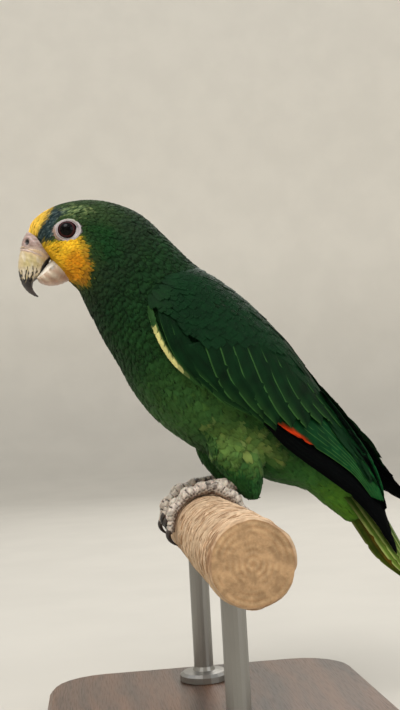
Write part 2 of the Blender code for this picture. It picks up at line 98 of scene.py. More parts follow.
LOWER_BILL = {
    "root": (-69.8, 148.6, -79.2, 161.2, 8.6, 0.0),
    "middle": (-75.6, 145.9, -84.2, 156.4, 8.4, 0.0),
    "cup": (-82.0, 145.0, -87.2, 152.7, 7.6, 0.0),
    "lip": (-86.8, 146.2, -89.2, 150.4, 6.0, 0.0),
    "edge": (-88.9, 147.6, -90.0, 149.6, 4.4, 0.0),
}
EYE_RADIUS = 6.3
EYE_CENTRE = (-70.7, 13.9, 174.3)
# Upper edge (x, y, z), lower edge (x, y, z), bulge of the outer face, bulge of the inner face
WING = {
    "bend": (-17.0, 23.0, 145.5, -29.0, 31.5, 131.5, 2.6, 0.4),
    "wrist": (1.0, 13.0, 150.0, -25.0, 36.5, 113.0, 7.0, 3.0),
    "shoulder": (20.5, 7.5, 139.6, -13.0, 39.0, 92.0, 10.0, 5.0),
    "coverts": (40.0, 5.5, 122.0, 6.0, 40.0, 72.5, 11.5, 7.0),
    "middle": (55.5, 4.5, 103.5, 27.0, 38.5, 60.0, 11.0, 7.0),
    "elbow": (68.5, 4.5, 82.0, 46.0, 35.0, 49.5, 8.6, 5.4),
    "tertials": (81.0, 6.0, 61.5, 65.0, 30.5, 39.4, 6.2, 3.8),
    "secondaries": (91.0, 9.5, 43.5, 82.0, 26.0, 27.6, 4.0, 2.4),
    "end": (99.0, 14.5, 26.0, 95.0, 22.0, 14.0, 2.2, 1.2),
    "tip": (103.6, 18.0, 9.0, 102.4, 19.4, 6.0, 0.6, 0.3),
}
PRIMARIES = {
    "root": (14.0, 34.5, 80.0, 9.0, 37.5, 71.0, 1.6, 0.2),
    "hidden": (42.0, 30.0, 66.0, 27.0, 35.6, 57.0, 2.4, 0.8),
    "shown": (63.0, 24.5, 52.0, 51.0, 30.6, 38.0, 2.4, 1.0),
    "fold": (83.0, 19.5, 36.0, 71.0, 26.6, 23.2, 2.2, 1.0),
    "narrow": (98.0, 16.0, 17.0, 89.0, 22.6, 7.4, 1.8, 0.8),
    "point": (108.4, 13.5, -3.0, 102.4, 18.6, -10.6, 1.4, 0.6),
    "tip": (114.0, 12.5, -19.6, 110.8, 14.8, -23.4, 0.8, 0.3),
}
FLESHY_STATIONS = 6
WING_EDGE = 0.8
WING_PIVOT = (-10.0, 140.0)
WING_REACH = 200.0
RIGHT_WING_LIFT = math.radians(9.8)
RIGHT_WING_SPREAD = 5.0
LIFT_CURVE = 2.2
# Roof top (x, z), side edges (x, z), half width
TAIL = {
    "root": (88.0, 34.0, 64.5, 18.0, 12.0),
    "coverts": (99.0, 17.0, 80.4, 3.4, 15.5),
    "middle": (109.5, -0.5, 93.0, -13.6, 18.0),
    "blades": (117.5, -17.0, 103.0, -26.6, 19.0),
    "end": (125.0, -32.0, 113.0, -35.6, 17.5),
    "tip": (130.5, -43.5, 121.0, -44.0, 12.0),
}
# Centre (x, y, z), half length in x, half width in y
THIGH = {
    "hip": (15.0, 17.5, 54.0, 15.0, 9.0),
    "thigh": (18.0, 21.0, 40.0, 15.0, 11.5),
    "knee": (22.0, 22.6, 29.0, 11.6, 10.4),
    "shin": (24.4, 23.2, 21.5, 7.6, 8.2),
    "hem": (25.8, 23.4, 17.0, 4.6, 5.6),
    "fringe": (26.4, 23.4, 14.8, 2.2, 3.2),
}
THIGH_SHIFT = {-1: 0.0, 1: -1.5}
FOOT_Y = 24.0
TOE_RADIUS = 3.4
GAP = 0.3
# Start and end angle round the perch, start and end offset across
TOES = {
    "front_outer": (90.0, 180.0, 2.0, 8.0),
    "front_inner": (93.0, 166.0, -2.5, -9.5),
    "rear_outer": (76.0, -12.0, 2.5, 7.5),
    "rear_inner": (73.0, 14.0, -2.5, -8.5),
}
CLAW_ARC = 25.0
SIDES = {"left": -1, "right": 1}

# ---------------------------------------------------------------- numbers


def smooth_rows(rows, steps):
    """Rows of numbers joined by a Catmull-Rom curve, with this many steps between two rows."""
    rows = np.array(list(rows.values()) if isinstance(rows, dict) else rows, float)
    ends = np.vstack([2 * rows[0] - rows[1], rows, 2 * rows[-1] - rows[-2]])
    t = (np.arange(steps) / steps)[None, :, None]
    before, start, end, after = (ends[i : i + len(rows) - 1, None, :] for i in range(4))
    curve = 0.5 * (
        2 * start
        + (end - before) * t
        + (2 * before - 5 * start + 4 * end - after) * t**2
        + (3 * start - before - 3 * end + after) * t**3
    )
    return np.vstack([curve.reshape(-1, rows.shape[1]), rows[-1:]])


def distances_along(line):
    """How far each point of a line is from its start, along the line."""
    return np.concatenate([[0.0], np.cumsum(np.linalg.norm(np.diff(line, axis=0), axis=1))])


def resampled(points, count):
    """A smooth line through the points, as this many points at equal distances."""
    fine = smooth_rows(points, 12)
    reach = distances_along(fine)
    at = np.linspace(0.0, reach[-1], count)
    return np.stack([np.interp(at, reach, fine[:, i]) for i in range(fine.shape[1])], axis=1)


def unit(vectors):
    """The same directions, each with a length of 1."""
    return vectors / np.maximum(np.linalg.norm(vectors, axis=-1, keepdims=True), 1e-9)


def ease(value, low, high):
    """0 below low, 1 above high, smooth between."""
    t = np.clip((value - low) / (high - low), 0.0, 1.0)
    return t * t * (3 - 2 * t)


def bell(value, middle, width):
    """1 at the middle, falling off smoothly within about the width on each side."""
    return np.exp(-(((value - middle) / width) ** 2))


def circle(count):
    """The angles of this many points round a circle."""
    return np.arange(count) * 2 * math.pi / count


def mix(first, second, share):
    """Colours or directions blended by a share for each point."""
    share = np.asarray(share)[..., None]
    return np.asarray(first) * (1 - share) + np.asarray(second) * share


def within(points, outline):
    """How far each point lies inside a closed (x, z) outline, in mm; negative outside."""
    flat = np.reshape(points, (-1, np.shape(points)[-1]))[:, [0, -1]]
    corner = np.array(outline, float)
    following = np.roll(corner, -1, axis=0)
    edge = following - corner
    rel = flat[:, None, :] - corner[None]
    share = np.clip((rel * edge).sum(-1) / (edge**2).sum(-1), 0.0, 1.0)
    distance = np.linalg.norm(rel - share[..., None] * edge, axis=-1).min(1)
    z = flat[:, 1, None]
    crosses = (corner[:, 1] > z) != (following[:, 1] > z)
    slope = np.where(edge[:, 1] == 0, 1e-9, edge[:, 1])
    meets = corner[:, 0] + (z - corner[:, 1]) * edge[:, 0] / slope
    odd = (crosses & (flat[:, 0, None] < meets)).sum(1) % 2 == 1
    return np.where(odd, distance, -distance).reshape(np.shape(points)[:-1])


def waves(points, size, seed):
    """A soft, repeatable unevenness from -1 to 1: a few crossed waves of about this size in mm."""
    dice = np.random.default_rng(seed)
    flat = np.reshape(points, (-1, 3))
    total = np.zeros(len(flat))
    for _ in range(7):
        way = unit(dice.normal(size=3)) * 2 * math.pi / (size * dice.uniform(0.6, 1.6))
        total += np.sin(flat @ way + dice.uniform(0, 6.28))
    return (total / 3.2).reshape(np.shape(points)[:-1])


def srgb(red, green, blue, gain=1.0):
    """A picture colour from 0 to 255 as the light that a surface gives back."""
    value = np.array((red, green, blue), float) / 255
    return np.where(value <= 0.04045, value / 12.92, ((value + 0.055) / 1.055) ** 2.4) * gain


# ---------------------------------------------------------------- meshes


def make_mesh(name, points, quads=None, tris=None, tint=None, maps=None, lean=None, soft=LEAN_SHARE):
    """A mesh in metres from points in the tables' millimetres, with colours and UV maps by point.

    lean gives each point a direction, and the shading leans to that by the share soft.
    """
    points = np.array(points, float).reshape(-1, 3)
    world = (points + (0.0, 0.0, PERCH_AXIS)) * MM
    quads = np.zeros((0, 4), int) if quads is None else np.array(quads, int).reshape(-1, 4)
    tris = np.zeros((0, 3), int) if tris is None else np.array(tris, int).reshape(-1, 3)
    corners = np.concatenate([quads.ravel(), tris.ravel()]).astype(np.int32)
    starts = np.concatenate(
        [np.arange(len(quads)) * 4, len(quads) * 4 + np.arange(len(tris)) * 3]
    ).astype(np.int32)
    mesh = bpy.data.meshes.new(name)
    mesh.vertices.add(len(world))
    mesh.vertices.foreach_set("co", world.astype(np.float32).ravel())
    mesh.loops.add(len(corners))
    mesh.loops.foreach_set("vertex_index", corners)
    mesh.polygons.add(len(starts))
    mesh.polygons.foreach_set("loop_start", starts)
    mesh.update(calc_edges=True)
    mesh.validate()
    mesh.polygons.foreach_set("use_smooth", np.ones(len(mesh.polygons), bool))
    if tint is not None:
        colours = np.ones((len(world), 4), np.float32)
        colours[:, :3] = np.clip(tint, 0.0, 1.0)
        mesh.attributes.new("tint", "FLOAT_COLOR", "POINT").data.foreach_set(
            "color", colours.ravel()
        )
    for label, values in (maps or {}).items():
        layer = mesh.uv_layers.new(name=label)
        layer.data.foreach_set("uv", np.asarray(values, np.float32)[corners].ravel())
    if lean is not None:
        soften(mesh, unit(lean.reshape(-1, 3)), soft)
    return mesh


def soften(mesh, lean, soft):
    """Lean the shading of the faces that look along lean; the faces under a feather keep their own."""
    own = np.empty(len(mesh.vertices) * 3, np.float32)
    facing = np.empty(len(mesh.polygons) * 3, np.float32)
    corners = np.empty(len(mesh.loops), np.int32)
    sizes = np.empty(len(mesh.polygons), np.int32)
    mesh.vertex_normals.foreach_get("vector", own)
    mesh.polygons.foreach_get("normal", facing)
    mesh.polygons.foreach_get("loop_total", sizes)
    mesh.loops.foreach_get("vertex_index", corners)
    own = own.reshape(-1, 3)
    blended = unit(own * (1 - soft) + lean * soft)
    outer = (np.repeat(facing.reshape(-1, 3), sizes, axis=0) * lean[corners]).sum(1) > 0.2
    mesh.normals_split_custom_set(np.where(outer[:, None], blended[corners], own[corners]).tolist())


def make_object(name, mesh, material=None):
    """An object in the scene for a mesh, with its finish."""
    obj = bpy.data.objects.new(name, mesh)
    bpy.context.scene.collection.objects.link(obj)
    if material is not None:
        mesh.materials.append(material)
    return obj


def make_piece(name, mesh, material, replaced=()):
    """A finished piece of the object, on the one body and the solids it stands for."""
    obj = make_object(name, mesh, material)
    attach(obj, "root")
    if replaced:
        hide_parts(*replaced)
    return obj


def sheet_faces(rows, columns, closed=False):
    """The quads of a grid of points, row by row; closed joins the last column to the first."""
    spans = columns if closed else columns - 1
    i, j = np.meshgrid(np.arange(rows - 1) * columns, np.arange(spans), indexing="ij")
    k = (j + 1) % columns
    return np.stack([i + j, i + k, i + columns + k, i + columns + j], -1).reshape(-1, 4)


def tube_faces(rows, columns):
    """A closed tube's quads and the fans that cap its two ends (caps use the first point of a ring)."""
    quads = sheet_faces(rows, columns, closed=True)
    j = np.arange(1, columns - 1)
    last = (rows - 1) * columns
    start = np.stack([np.zeros_like(j), j + 1, j], -1)
    end = np.stack([np.full_like(j, last), last + j, last + j + 1], -1)
    return quads, np.vstack([start, end])


def outwards(points, quads, tris):
    """The faces, turned round if they enclose a negative volume."""
    points = np.asarray(points).reshape(-1, 3)
    halves = np.vstack([quads[:, [0, 1, 2]], quads[:, [0, 2, 3]], tris]) if len(quads) else tris
    a, b, c = (points[halves[:, i]] for i in range(3))
    if np.einsum("ij,ij->i", a, np.cross(b, c)).sum() < 0:
        return quads[:, ::-1], tris[:, ::-1]
    return quads, tris


def surface_normals(grid):
    """Outward normals of a ring-by-ring grid of points."""
    around = np.roll(grid, -1, 1) - np.roll(grid, 1, 1)
    normal = unit(np.cross(np.gradient(grid, axis=0), around))
    outward = grid - grid.mean(1, keepdims=True)
    return normal if (normal * outward).sum() >= 0 else -normal


def section_grid(stations, steps, sides, squareness, depth=0.0):
    """Rings of a loft between stations, drawn in by a depth in mm: an array rings x sides x 3."""
    rows = smooth_rows(stations, steps)
    angle = circle(sides)
    along, across = np.cos(angle), np.sin(angle)
    along = np.sign(along) * np.abs(along) ** (2 / squareness)
    across = np.sign(across) * np.abs(across) ** (2 / squareness)
    back, front = rows[:, 0:2], rows[:, 2:4]
    centre, reach = (back + front) / 2, (back - front) / 2
    length = np.linalg.norm(reach, axis=1)
    depth = np.broadcast_to(depth, len(rows))
    reach = reach * (1 - depth / length)[:, None]
    half = rows[:, 4] - depth
    grid = np.empty((len(rows), sides, 3))
    grid[..., 0] = centre[:, 0, None] + reach[:, 0, None] * along
    grid[..., 1] = half[:, None] * across * (1 - rows[:, 5, None] * along)
    grid[..., 2] = centre[:, 1, None] + reach[:, 1, None] * along
    return grid


def fused(shapes, voxel, smoothing):
    """One closed surface round all these closed shapes, as (points in mm, quads)."""
    points, quads, tris, count = [], [], [], 0
    for grid in shapes:
        rows, columns = grid.shape[:2]
        shape_quads, shape_tris = tube_faces(rows, columns)
        points.append(grid.reshape(-1, 3))
        quads.append(shape_quads + count)
        tris.append(shape_tris + count)
        count += rows * columns
    mesh = make_mesh("to_fuse", np.vstack(points), np.vstack(quads), np.vstack(tris))
    obj = make_object("to_fuse", mesh)
    remesh = obj.modifiers.new("fuse", "REMESH")
    remesh.mode = "VOXEL"
    remesh.voxel_size = voxel * MM
    soften = obj.modifiers.new("soften", "SMOOTH")
    soften.factor = 0.5
    soften.iterations = smoothing
    seen = obj.evaluated_get(bpy.context.evaluated_depsgraph_get()).to_mesh()
    found = np.empty(len(seen.vertices) * 3)
    seen.vertices.foreach_get("co", found)
    faces = np.empty(len(seen.loops), np.int32)
    seen.loops.foreach_get("vertex_index", faces)
    obj.evaluated_get(bpy.context.evaluated_depsgraph_get()).to_mesh_clear()
    bpy.data.objects.remove(obj, do_unlink=True)
    bpy.data.meshes.remove(mesh)
    return found.reshape(-1, 3) / MM - (0, 0, PERCH_AXIS), faces.reshape(-1, 4)


def point_normals(points, quads):
    """Area-weighted normals by point."""
    a, b, c, d = (points[quads[:, i]] for i in range(4))
    face = np.cross(c - a, d - b)
    total = np.zeros_like(points)
    for i in range(4):
        np.add.at(total, quads[:, i], face)
    return unit(total)


def facing_out(points, quads):
    """The normals by point of a closed surface, and its quads, both made to look outwards."""
    normals = point_normals(points, quads)
    if (normals * (points - points.mean(0))).sum() < 0:
        return -normals, quads[:, ::-1]
    return normals, quads


def point_finder(points):
    """A search tree for the nearest of some points."""
    finder = KDTree(len(points))
    for i, point in enumerate(points):
        finder.insert(point, i)
    finder.balance()
    return finder


# ---------------------------------------------------------------- finishes


class Nodes:
    """Short forms for building the node tree of one material."""

    def __init__(self, name):
        self.material = bpy.data.materials.new(name)
        self.material.use_nodes = True
        self.tree = self.material.node_tree
        self.shader = self.tree.nodes["Principled BSDF"]

    def add(self, kind, links=None, **settings):
        node = self.tree.nodes.new("ShaderNode" + kind)
        for key, value in settings.items():
            setattr(node, key, value)
        for socket, value in (links or {}).items():
            if isinstance(value, bpy.types.NodeSocket):
                self.tree.links.new(value, node.inputs[socket])
            else:
                node.inputs[socket].default_value = value
        return node

    def place(self, scale=(1, 1, 1)):
        source = self.add("TexCoord").outputs["Object"]
        return self.add("Mapping", {"Vector": source, "Scale": scale}).outputs["Vector"]

    def noise(self, scale, detail=3.0, where=None, rough=0.5):
        settings = {"Scale": scale, "Detail": detail, "Roughness": rough}
        settings["Vector"] = self.place() if where is None else where
        return self.add("TexNoise", settings).outputs["Fac"]

    def span(self, value, low, high, new_low=0.0, new_high=1.0):
        """The value's part from low to high, as new_low to new_high."""
        settings = {"Value": value, "From Min": low, "From Max": high}
        settings.update({"To Min": new_low, "To Max": new_high})
        return self.add("MapRange", settings, interpolation_type="SMOOTHSTEP").outputs["Result"]

    def math(self, operation, first, second=0.0):
        return self.add("Math", {0: first, 1: second}, operation=operation).outputs["Value"]

    def blend(self, share, first, second, blend_type="MIX"):
        node = self.add("Mix", data_type="RGBA", blend_type=blend_type)
        for socket, value in (("Factor_Float", share), ("A_Color", first), ("B_Color", second)):
            target = next(s for s in node.inputs if s.identifier == socket)
            if isinstance(value, bpy.types.NodeSocket):
                self.tree.links.new(value, target)
            elif socket == "Factor_Float":
                target.default_value = value
            else:
                target.default_value = (*value, 1.0)
        return next(s for s in node.outputs if s.identifier == "Result_Color")

    def scaled(self, colour, amount):
        """A colour made darker or lighter by a value."""
        tone = self.add("CombineColor", {"Red": amount, "Green": amount, "Blue": amount})
        return self.blend(1.0, colour, tone.outputs["Color"], "MULTIPLY")

    def tint(self):
        return self.add("Attribute", attribute_name="tint").outputs["Color"]

    def bump(self, height, strength, distance):
        links = {"Height": height, "Strength": strength, "Distance": distance}
        self.tree.links.new(self.add("Bump", links).outputs["Normal"], self.shader.inputs["Normal"])

    def finish(self, colour, roughness=0.5, **fixed):
        inputs = self.shader.inputs
        self.tree.links.new(colour, inputs["Base Color"])
        if isinstance(roughness, bpy.types.NodeSocket):
            self.tree.links.new(roughness, inputs["Roughness"])
        else:
            inputs["Roughness"].default_value = roughness
        for key, value in fixed.items():
            inputs[key.replace("_", " ")].default_value = value
        return self.material


def feather_finish(name, barb_depth, roughness, sheen, gloss=0.05):
    """Vanes: the painted tint, with fine slanting barbs, patchy wear and a soft gloss."""
    nodes = Nodes(name)
    vane = nodes.add("UVMap", uv_map="Vane").outputs["UV"]
    parts = nodes.add("SeparateXYZ", {"Vector": vane}).outputs
    slant = nodes.math("ABSOLUTE", parts["X"])
    slope = nodes.math("SUBTRACT", parts["Y"], nodes.math("MULTIPLY", slant, 0.75))
    fray = nodes.noise(900.0, 2.0)
    barbs, waver = nodes.math("MULTIPLY", slope, 13.0), nodes.math("MULTIPLY", fray, 5.0)
    barb = nodes.math("SINE", nodes.math("ADD", barbs, waver))
    patch = nodes.noise(160.0, 3.0)
    worn = nodes.span(patch, 0.3, 0.7, 0.84, 1.14)
    tone = nodes.math("ADD", worn, nodes.math("MULTIPLY", barb, 0.07))
    colour = nodes.scaled(nodes.tint(), tone)
    height = nodes.math("ADD", nodes.math("MULTIPLY", barb, 0.5), fray)
    nodes.bump(height, barb_depth, 0.0003)
    rough = nodes.span(patch, 0.3, 0.7, roughness - 0.06, roughness + 0.08)
    return nodes.finish(colour, rough, Sheen_Weight=sheen, Specular_IOR_Level=gloss)


def skin_finish():
    """Skin under the coat, in the coat's own colours, darkened as painted shade between the vanes."""
    nodes = Nodes("skin")
    pores = nodes.noise(1400.0, 4.0)
    colour = nodes.scaled(nodes.tint(), nodes.span(pores, 0.3, 0.7, 0.75, 1.1))
    nodes.bump(pores, 0.4, 0.0003)
    return nodes.finish(colour, 0.75, Specular_IOR_Level=0.05)


def horn_finish(name, roughness):
    """Bill horn: tint with growth lines, fine scratches and a polish."""
    nodes = Nodes(name)
    layers = nodes.noise(420.0, 5.0, nodes.place((1.0, 1.0, 0.25)))
    scratch = nodes.noise(2600.0, 3.0, nodes.place((0.2, 1.0, 1.0)))
    grown, scratched = nodes.span(layers, 0.3, 0.7, 0.86, 1.1), nodes.span(scratch, 0.3, 0.7, 0.95, 1.04)
    tone = nodes.math("MULTIPLY", grown, scratched)
    colour = nodes.scaled(nodes.tint(), tone)
    nodes.bump(nodes.math("ADD", layers, nodes.math("MULTIPLY", scratch, 0.4)), 0.22, 0.0003)
    rough = nodes.span(layers, 0.3, 0.7, roughness - 0.05, roughness + 0.1)
    return nodes.finish(colour, rough, Coat_Weight=0.25, Coat_Roughness=0.25)


def bare_skin_finish(name, wrinkle_scale, depth, roughness):
    """Bare skin: cere, orbital ring and lids."""
    nodes = Nodes(name)
    cells = nodes.add("TexVoronoi", {"Vector": nodes.place(), "Scale": wrinkle_scale})
    grain = cells.outputs["Distance"]
    veins = nodes.noise(500.0, 4.0)
    folds, veined = nodes.span(grain, 0.0, 0.7, 0.84, 1.08), nodes.span(veins, 0.3, 0.7, 0.92, 1.06)
    tone = nodes.math("MULTIPLY", folds, veined)
    colour = nodes.scaled(nodes.tint(), tone)
    nodes.bump(nodes.math("ADD", grain, veins), depth, 0.0002)
    return nodes.finish(colour, roughness, Subsurface_Weight=0.12, Subsurface_Scale=0.001)


def eye_finish():
    """Wet, dark eyeball with fine threads in the iris."""
    nodes = Nodes("eye")
    threads = nodes.noise(2400.0, 3.0)
    colour = nodes.scaled(nodes.tint(), nodes.span(threads, 0.3, 0.7, 0.7, 1.3))
    return nodes.finish(colour, 0.04, Coat_Weight=0.0, Coat_Roughness=0.02, Specular_IOR_Level=0.1)


def claw_finish():
    """Dark claw horn in layers along the claw."""
    nodes = Nodes("claw")
    layers = nodes.noise(900.0, 4.0, nodes.place((1.0, 1.0, 0.3)))
    colour = nodes.scaled(nodes.tint(), nodes.span(layers, 0.3, 0.7, 0.6, 1.5))
    nodes.bump(layers, 0.25, 0.0002)
    return nodes.finish(colour, nodes.span(layers, 0.3, 0.7, 0.28, 0.42), Coat_Weight=0.2)


def wood_finish():
    """Gnawed branch: fibres that run round it, paler where their bump stands up and darker where it sinks.
    """
    nodes = Nodes("perch_wood")
    fibres = nodes.noise(260.0, 5.0, nodes.place((1.0, 3.2, 1.0)), 0.6)
    stains = nodes.noise(38.0, 3.0)
    colour = nodes.scaled(nodes.tint(), nodes.span(fibres, 0.32, 0.68, 0.74, 1.16))
    colour = nodes.scaled(colour, nodes.span(stains, 0.35, 0.65, 0.9, 1.06))
    nodes.bump(fibres, 0.55, 0.0006)
    return nodes.finish(colour, nodes.span(fibres, 0.3, 0.7, 0.95, 0.75), Specular_IOR_Level=0.2)


def stand_wood_finish():
    """Dark stained and waxed wood with its grain along Y."""
    nodes = Nodes("stand_wood")
    bent = nodes.noise(14.0, 2.0)
    sideways = nodes.add("CombineXYZ", {"X": bent, "Z": bent}).outputs["Vector"]
    straight = nodes.place((60.0, 3.0, 60.0))
    wavy = nodes.add("VectorMath", {0: straight, 1: sideways}, operation="ADD").outputs["Vector"]
    grain = nodes.noise(1.0, 6.0, wavy, 0.62)
    pores = nodes.noise(1.0, 3.0, nodes.place((1500.0, 70.0, 1500.0)))
    dark, light = srgb(46, 27, 16), srgb(104, 66, 40)
    colour = nodes.blend(nodes.span(grain, 0.3, 0.7), dark, light)
    colour = nodes.scaled(colour, nodes.span(pores, 0.38, 0.5, 0.72, 1.0))
    nodes.bump(nodes.math("ADD", grain, pores), 0.12, 0.0004)
    return nodes.finish(colour, nodes.span(pores, 0.3, 0.6, 0.5, 0.33), Coat_Weight=0.3, Coat_Roughness=0.3)


def studio_finish():
    """Pale matt floor and wall, a little lighter with height."""
    nodes = Nodes("studio_floor")
    dust = nodes.noise(9.0, 4.0)
    height = nodes.add("SeparateXYZ", {"Vector": nodes.place()}).outputs["Z"]
    colour = nodes.blend(nodes.span(height, 0.0, 0.9), srgb(196, 192, 183), srgb(236, 231, 220))
    colour = nodes.scaled(colour, nodes.span(dust, 0.3, 0.7, 0.975, 1.015))
    return nodes.finish(colour, 0.85, Specular_IOR_Level=0.1)


# ---------------------------------------------------------------- surfaces that the coat follows

BODY_STEPS = 8
BODY_SIDES = 72
BODY_RINGS = (len(BODY) - 1) * BODY_STEPS + 1


def coat_depth(progress):
    """How far the skin lies under the coat, in mm: least on the face, most on the breast."""
    return 0.7 + 1.7 * ease(progress, 0.05, 0.5) - 0.6 * ease(progress, 0.8, 1.0)


def thigh_grid(side, depth=0.0):
    """Rings round one feathered thigh, drawn in by a depth in mm."""
    rows = smooth_rows(THIGH, 5)
    angle = circle(36)
    grid = np.empty((len(rows), 36, 3))
    grid[..., 0] = rows[:, 0, None] + THIGH_SHIFT[side] + (rows[:, 3, None] - depth) * np.cos(angle)
    grid[..., 1] = side * rows[:, 1, None] + (rows[:, 4, None] - depth) * np.sin(angle)
    grid[..., 2] = rows[:, 2, None]
    return grid


def wing_face(stations, steps, columns, face, inset=0.0, drawn=0.0):
    """One face of a folded wing, y outwards: rows x columns from its lower to its upper edge."""
    rows = smooth_rows(stations, steps)
    upper, lower = rows[:, 0:3], rows[:, 3:6]
    axes = np.gradient((upper + lower) / 2, axis=0)
    out = unit(np.cross(axes, upper - lower))
    out[out[:, 1] < 0] *= -1
    margin = drawn / np.linalg.norm(upper - lower, axis=1)
    t = np.linspace(0, 1, columns)[None, :] * (1 - 2 * margin[:, None]) + margin[:, None]
    arch = (4 * t * (1 - t)) ** 0.75
    bulge = rows[:, 6 if face > 0 else 7, None]
    height = bulge * arch + face * WING_EDGE - inset
    return lower[:, None] + (upper - lower)[:, None] * t[..., None] + out[:, None] * height[..., None]


def to_side(points, side):
    """Points of a folded left wing, y outwards, in their place on a side: the right one is raised."""
    points = np.array(points, float)
    if side < 0:
        return points * (1, -1, 1)
    dx, dz = points[..., 0] - WING_PIVOT[0], points[..., 2] - WING_PIVOT[1]
    reach = np.hypot(dx, dz) / WING_REACH
    angle = RIGHT_WING_LIFT * reach**LIFT_CURVE
    moved = np.empty_like(points)
    moved[..., 0] = WING_PIVOT[0] + dx * np.cos(angle) - dz * np.sin(angle)
    moved[..., 1] = points[..., 1] + RIGHT_WING_SPREAD * reach**2
    moved[..., 2] = WING_PIVOT[1] + dx * np.sin(angle) + dz * np.cos(angle)
    return moved


# A place well outside the left side, and one near the wing's rim
OUTSIDE_Y = 80.0
RIM_Y = 25.0


class Surface:
    """A surface of quads that can be searched for its nearest point or along y."""

    def __init__(self, points, quads, open_sheet=False):
        self.points, self.quads = points, quads
        self.tree = BVHTree.FromPolygons(points.tolist(), quads.tolist())
        self.normals = point_normals(points, quads)
        away = (0.0, 1.0, 0.0) if open_sheet else points - points.mean(0)
        if (away * self.normals).sum() < 0:
            self.normals = -self.normals
        self.finder = point_finder(points)

    def normal_at(self, face):
        normal = self.normals[self.quads[face]].mean(0)
        return normal / np.linalg.norm(normal)

    def nearest(self, point):
        """The nearest place on the surface and the smooth normal there."""
        place, _, face, _ = self.tree.find_nearest(Vector(point))
        return np.array(place), self.normal_at(face)

    def dropped(self, x, z):
        """The outer surface at (x, z) seen along y; past its rim, the height of the nearest place."""
        hit, _, face, _ = self.tree.ray_cast(Vector((x, OUTSIDE_Y, z)), Vector((0, -1, 0)))
        if hit is None:
            hit, _, face, _ = self.tree.find_nearest(Vector((x, RIM_Y, z)))
        return np.array((x, hit.y, z)), self.normal_at(face)


def sheet_surface(grid):
    """An open sheet that looks along y, from a grid of points."""
    return Surface(grid.reshape(-1, 3), sheet_faces(*grid.shape[:2]), open_sheet=True)


class BodyChart:
    """The body's own unwrap: how far from bill to tail, and how far round, with the lie there."""

    def __init__(self):
        self.grid = section_grid(BODY, BODY_STEPS, BODY_SIDES, BODY_SQUARENESS)
        self.lie = unit(np.gradient(self.grid, axis=0)).reshape(-1, 3)
        self.finder = point_finder(self.grid.reshape(-1, 3))

    def read(self, points):
        """For each point: progress 0 to 1, turn 0 to 1, lie of the feathers, distance."""
        progress, turn = np.empty(len(points)), np.empty(len(points))
        lie, distance = np.empty((len(points), 3)), np.empty(len(points))
        for i, point in enumerate(points):
            found = self.finder.find_n(point, 3)
            near = [f[1] for f in found]
            weight = np.array([1 / (0.2 + f[2]) for f in found])
            weight /= weight.sum()
            ring = np.array([n // BODY_SIDES for n in near])
            progress[i] = (ring * weight).sum() / (BODY_RINGS - 1)
            turn[i] = (near[0] % BODY_SIDES) / BODY_SIDES
            lie[i] = (self.lie[near] * weight[:, None]).sum(0)
            distance[i] = found[0][2]
        return progress, turn, lie, distance


def station(name):
    """A body station's progress from bill to tail, 0 to 1."""
    return list(BODY).index(name) / (len(BODY) - 1)


CHART = BodyChart()
GUIDE = Surface(
    *fused(
        [CHART.grid, section_grid(CERE, 6, 48, 2.0), thigh_grid(-1), thigh_grid(1)],
        voxel=1.3,
        smoothing=5,
    )
)
WING_GRID = wing_face(WING, 8, 41, 1)
WING_GUIDE = sheet_surface(WING_GRID)
PRIMARY_GUIDE = sheet_surface(wing_face(PRIMARIES, 8, 17, 1))


# ---------------------------------------------------------------- colours and markings

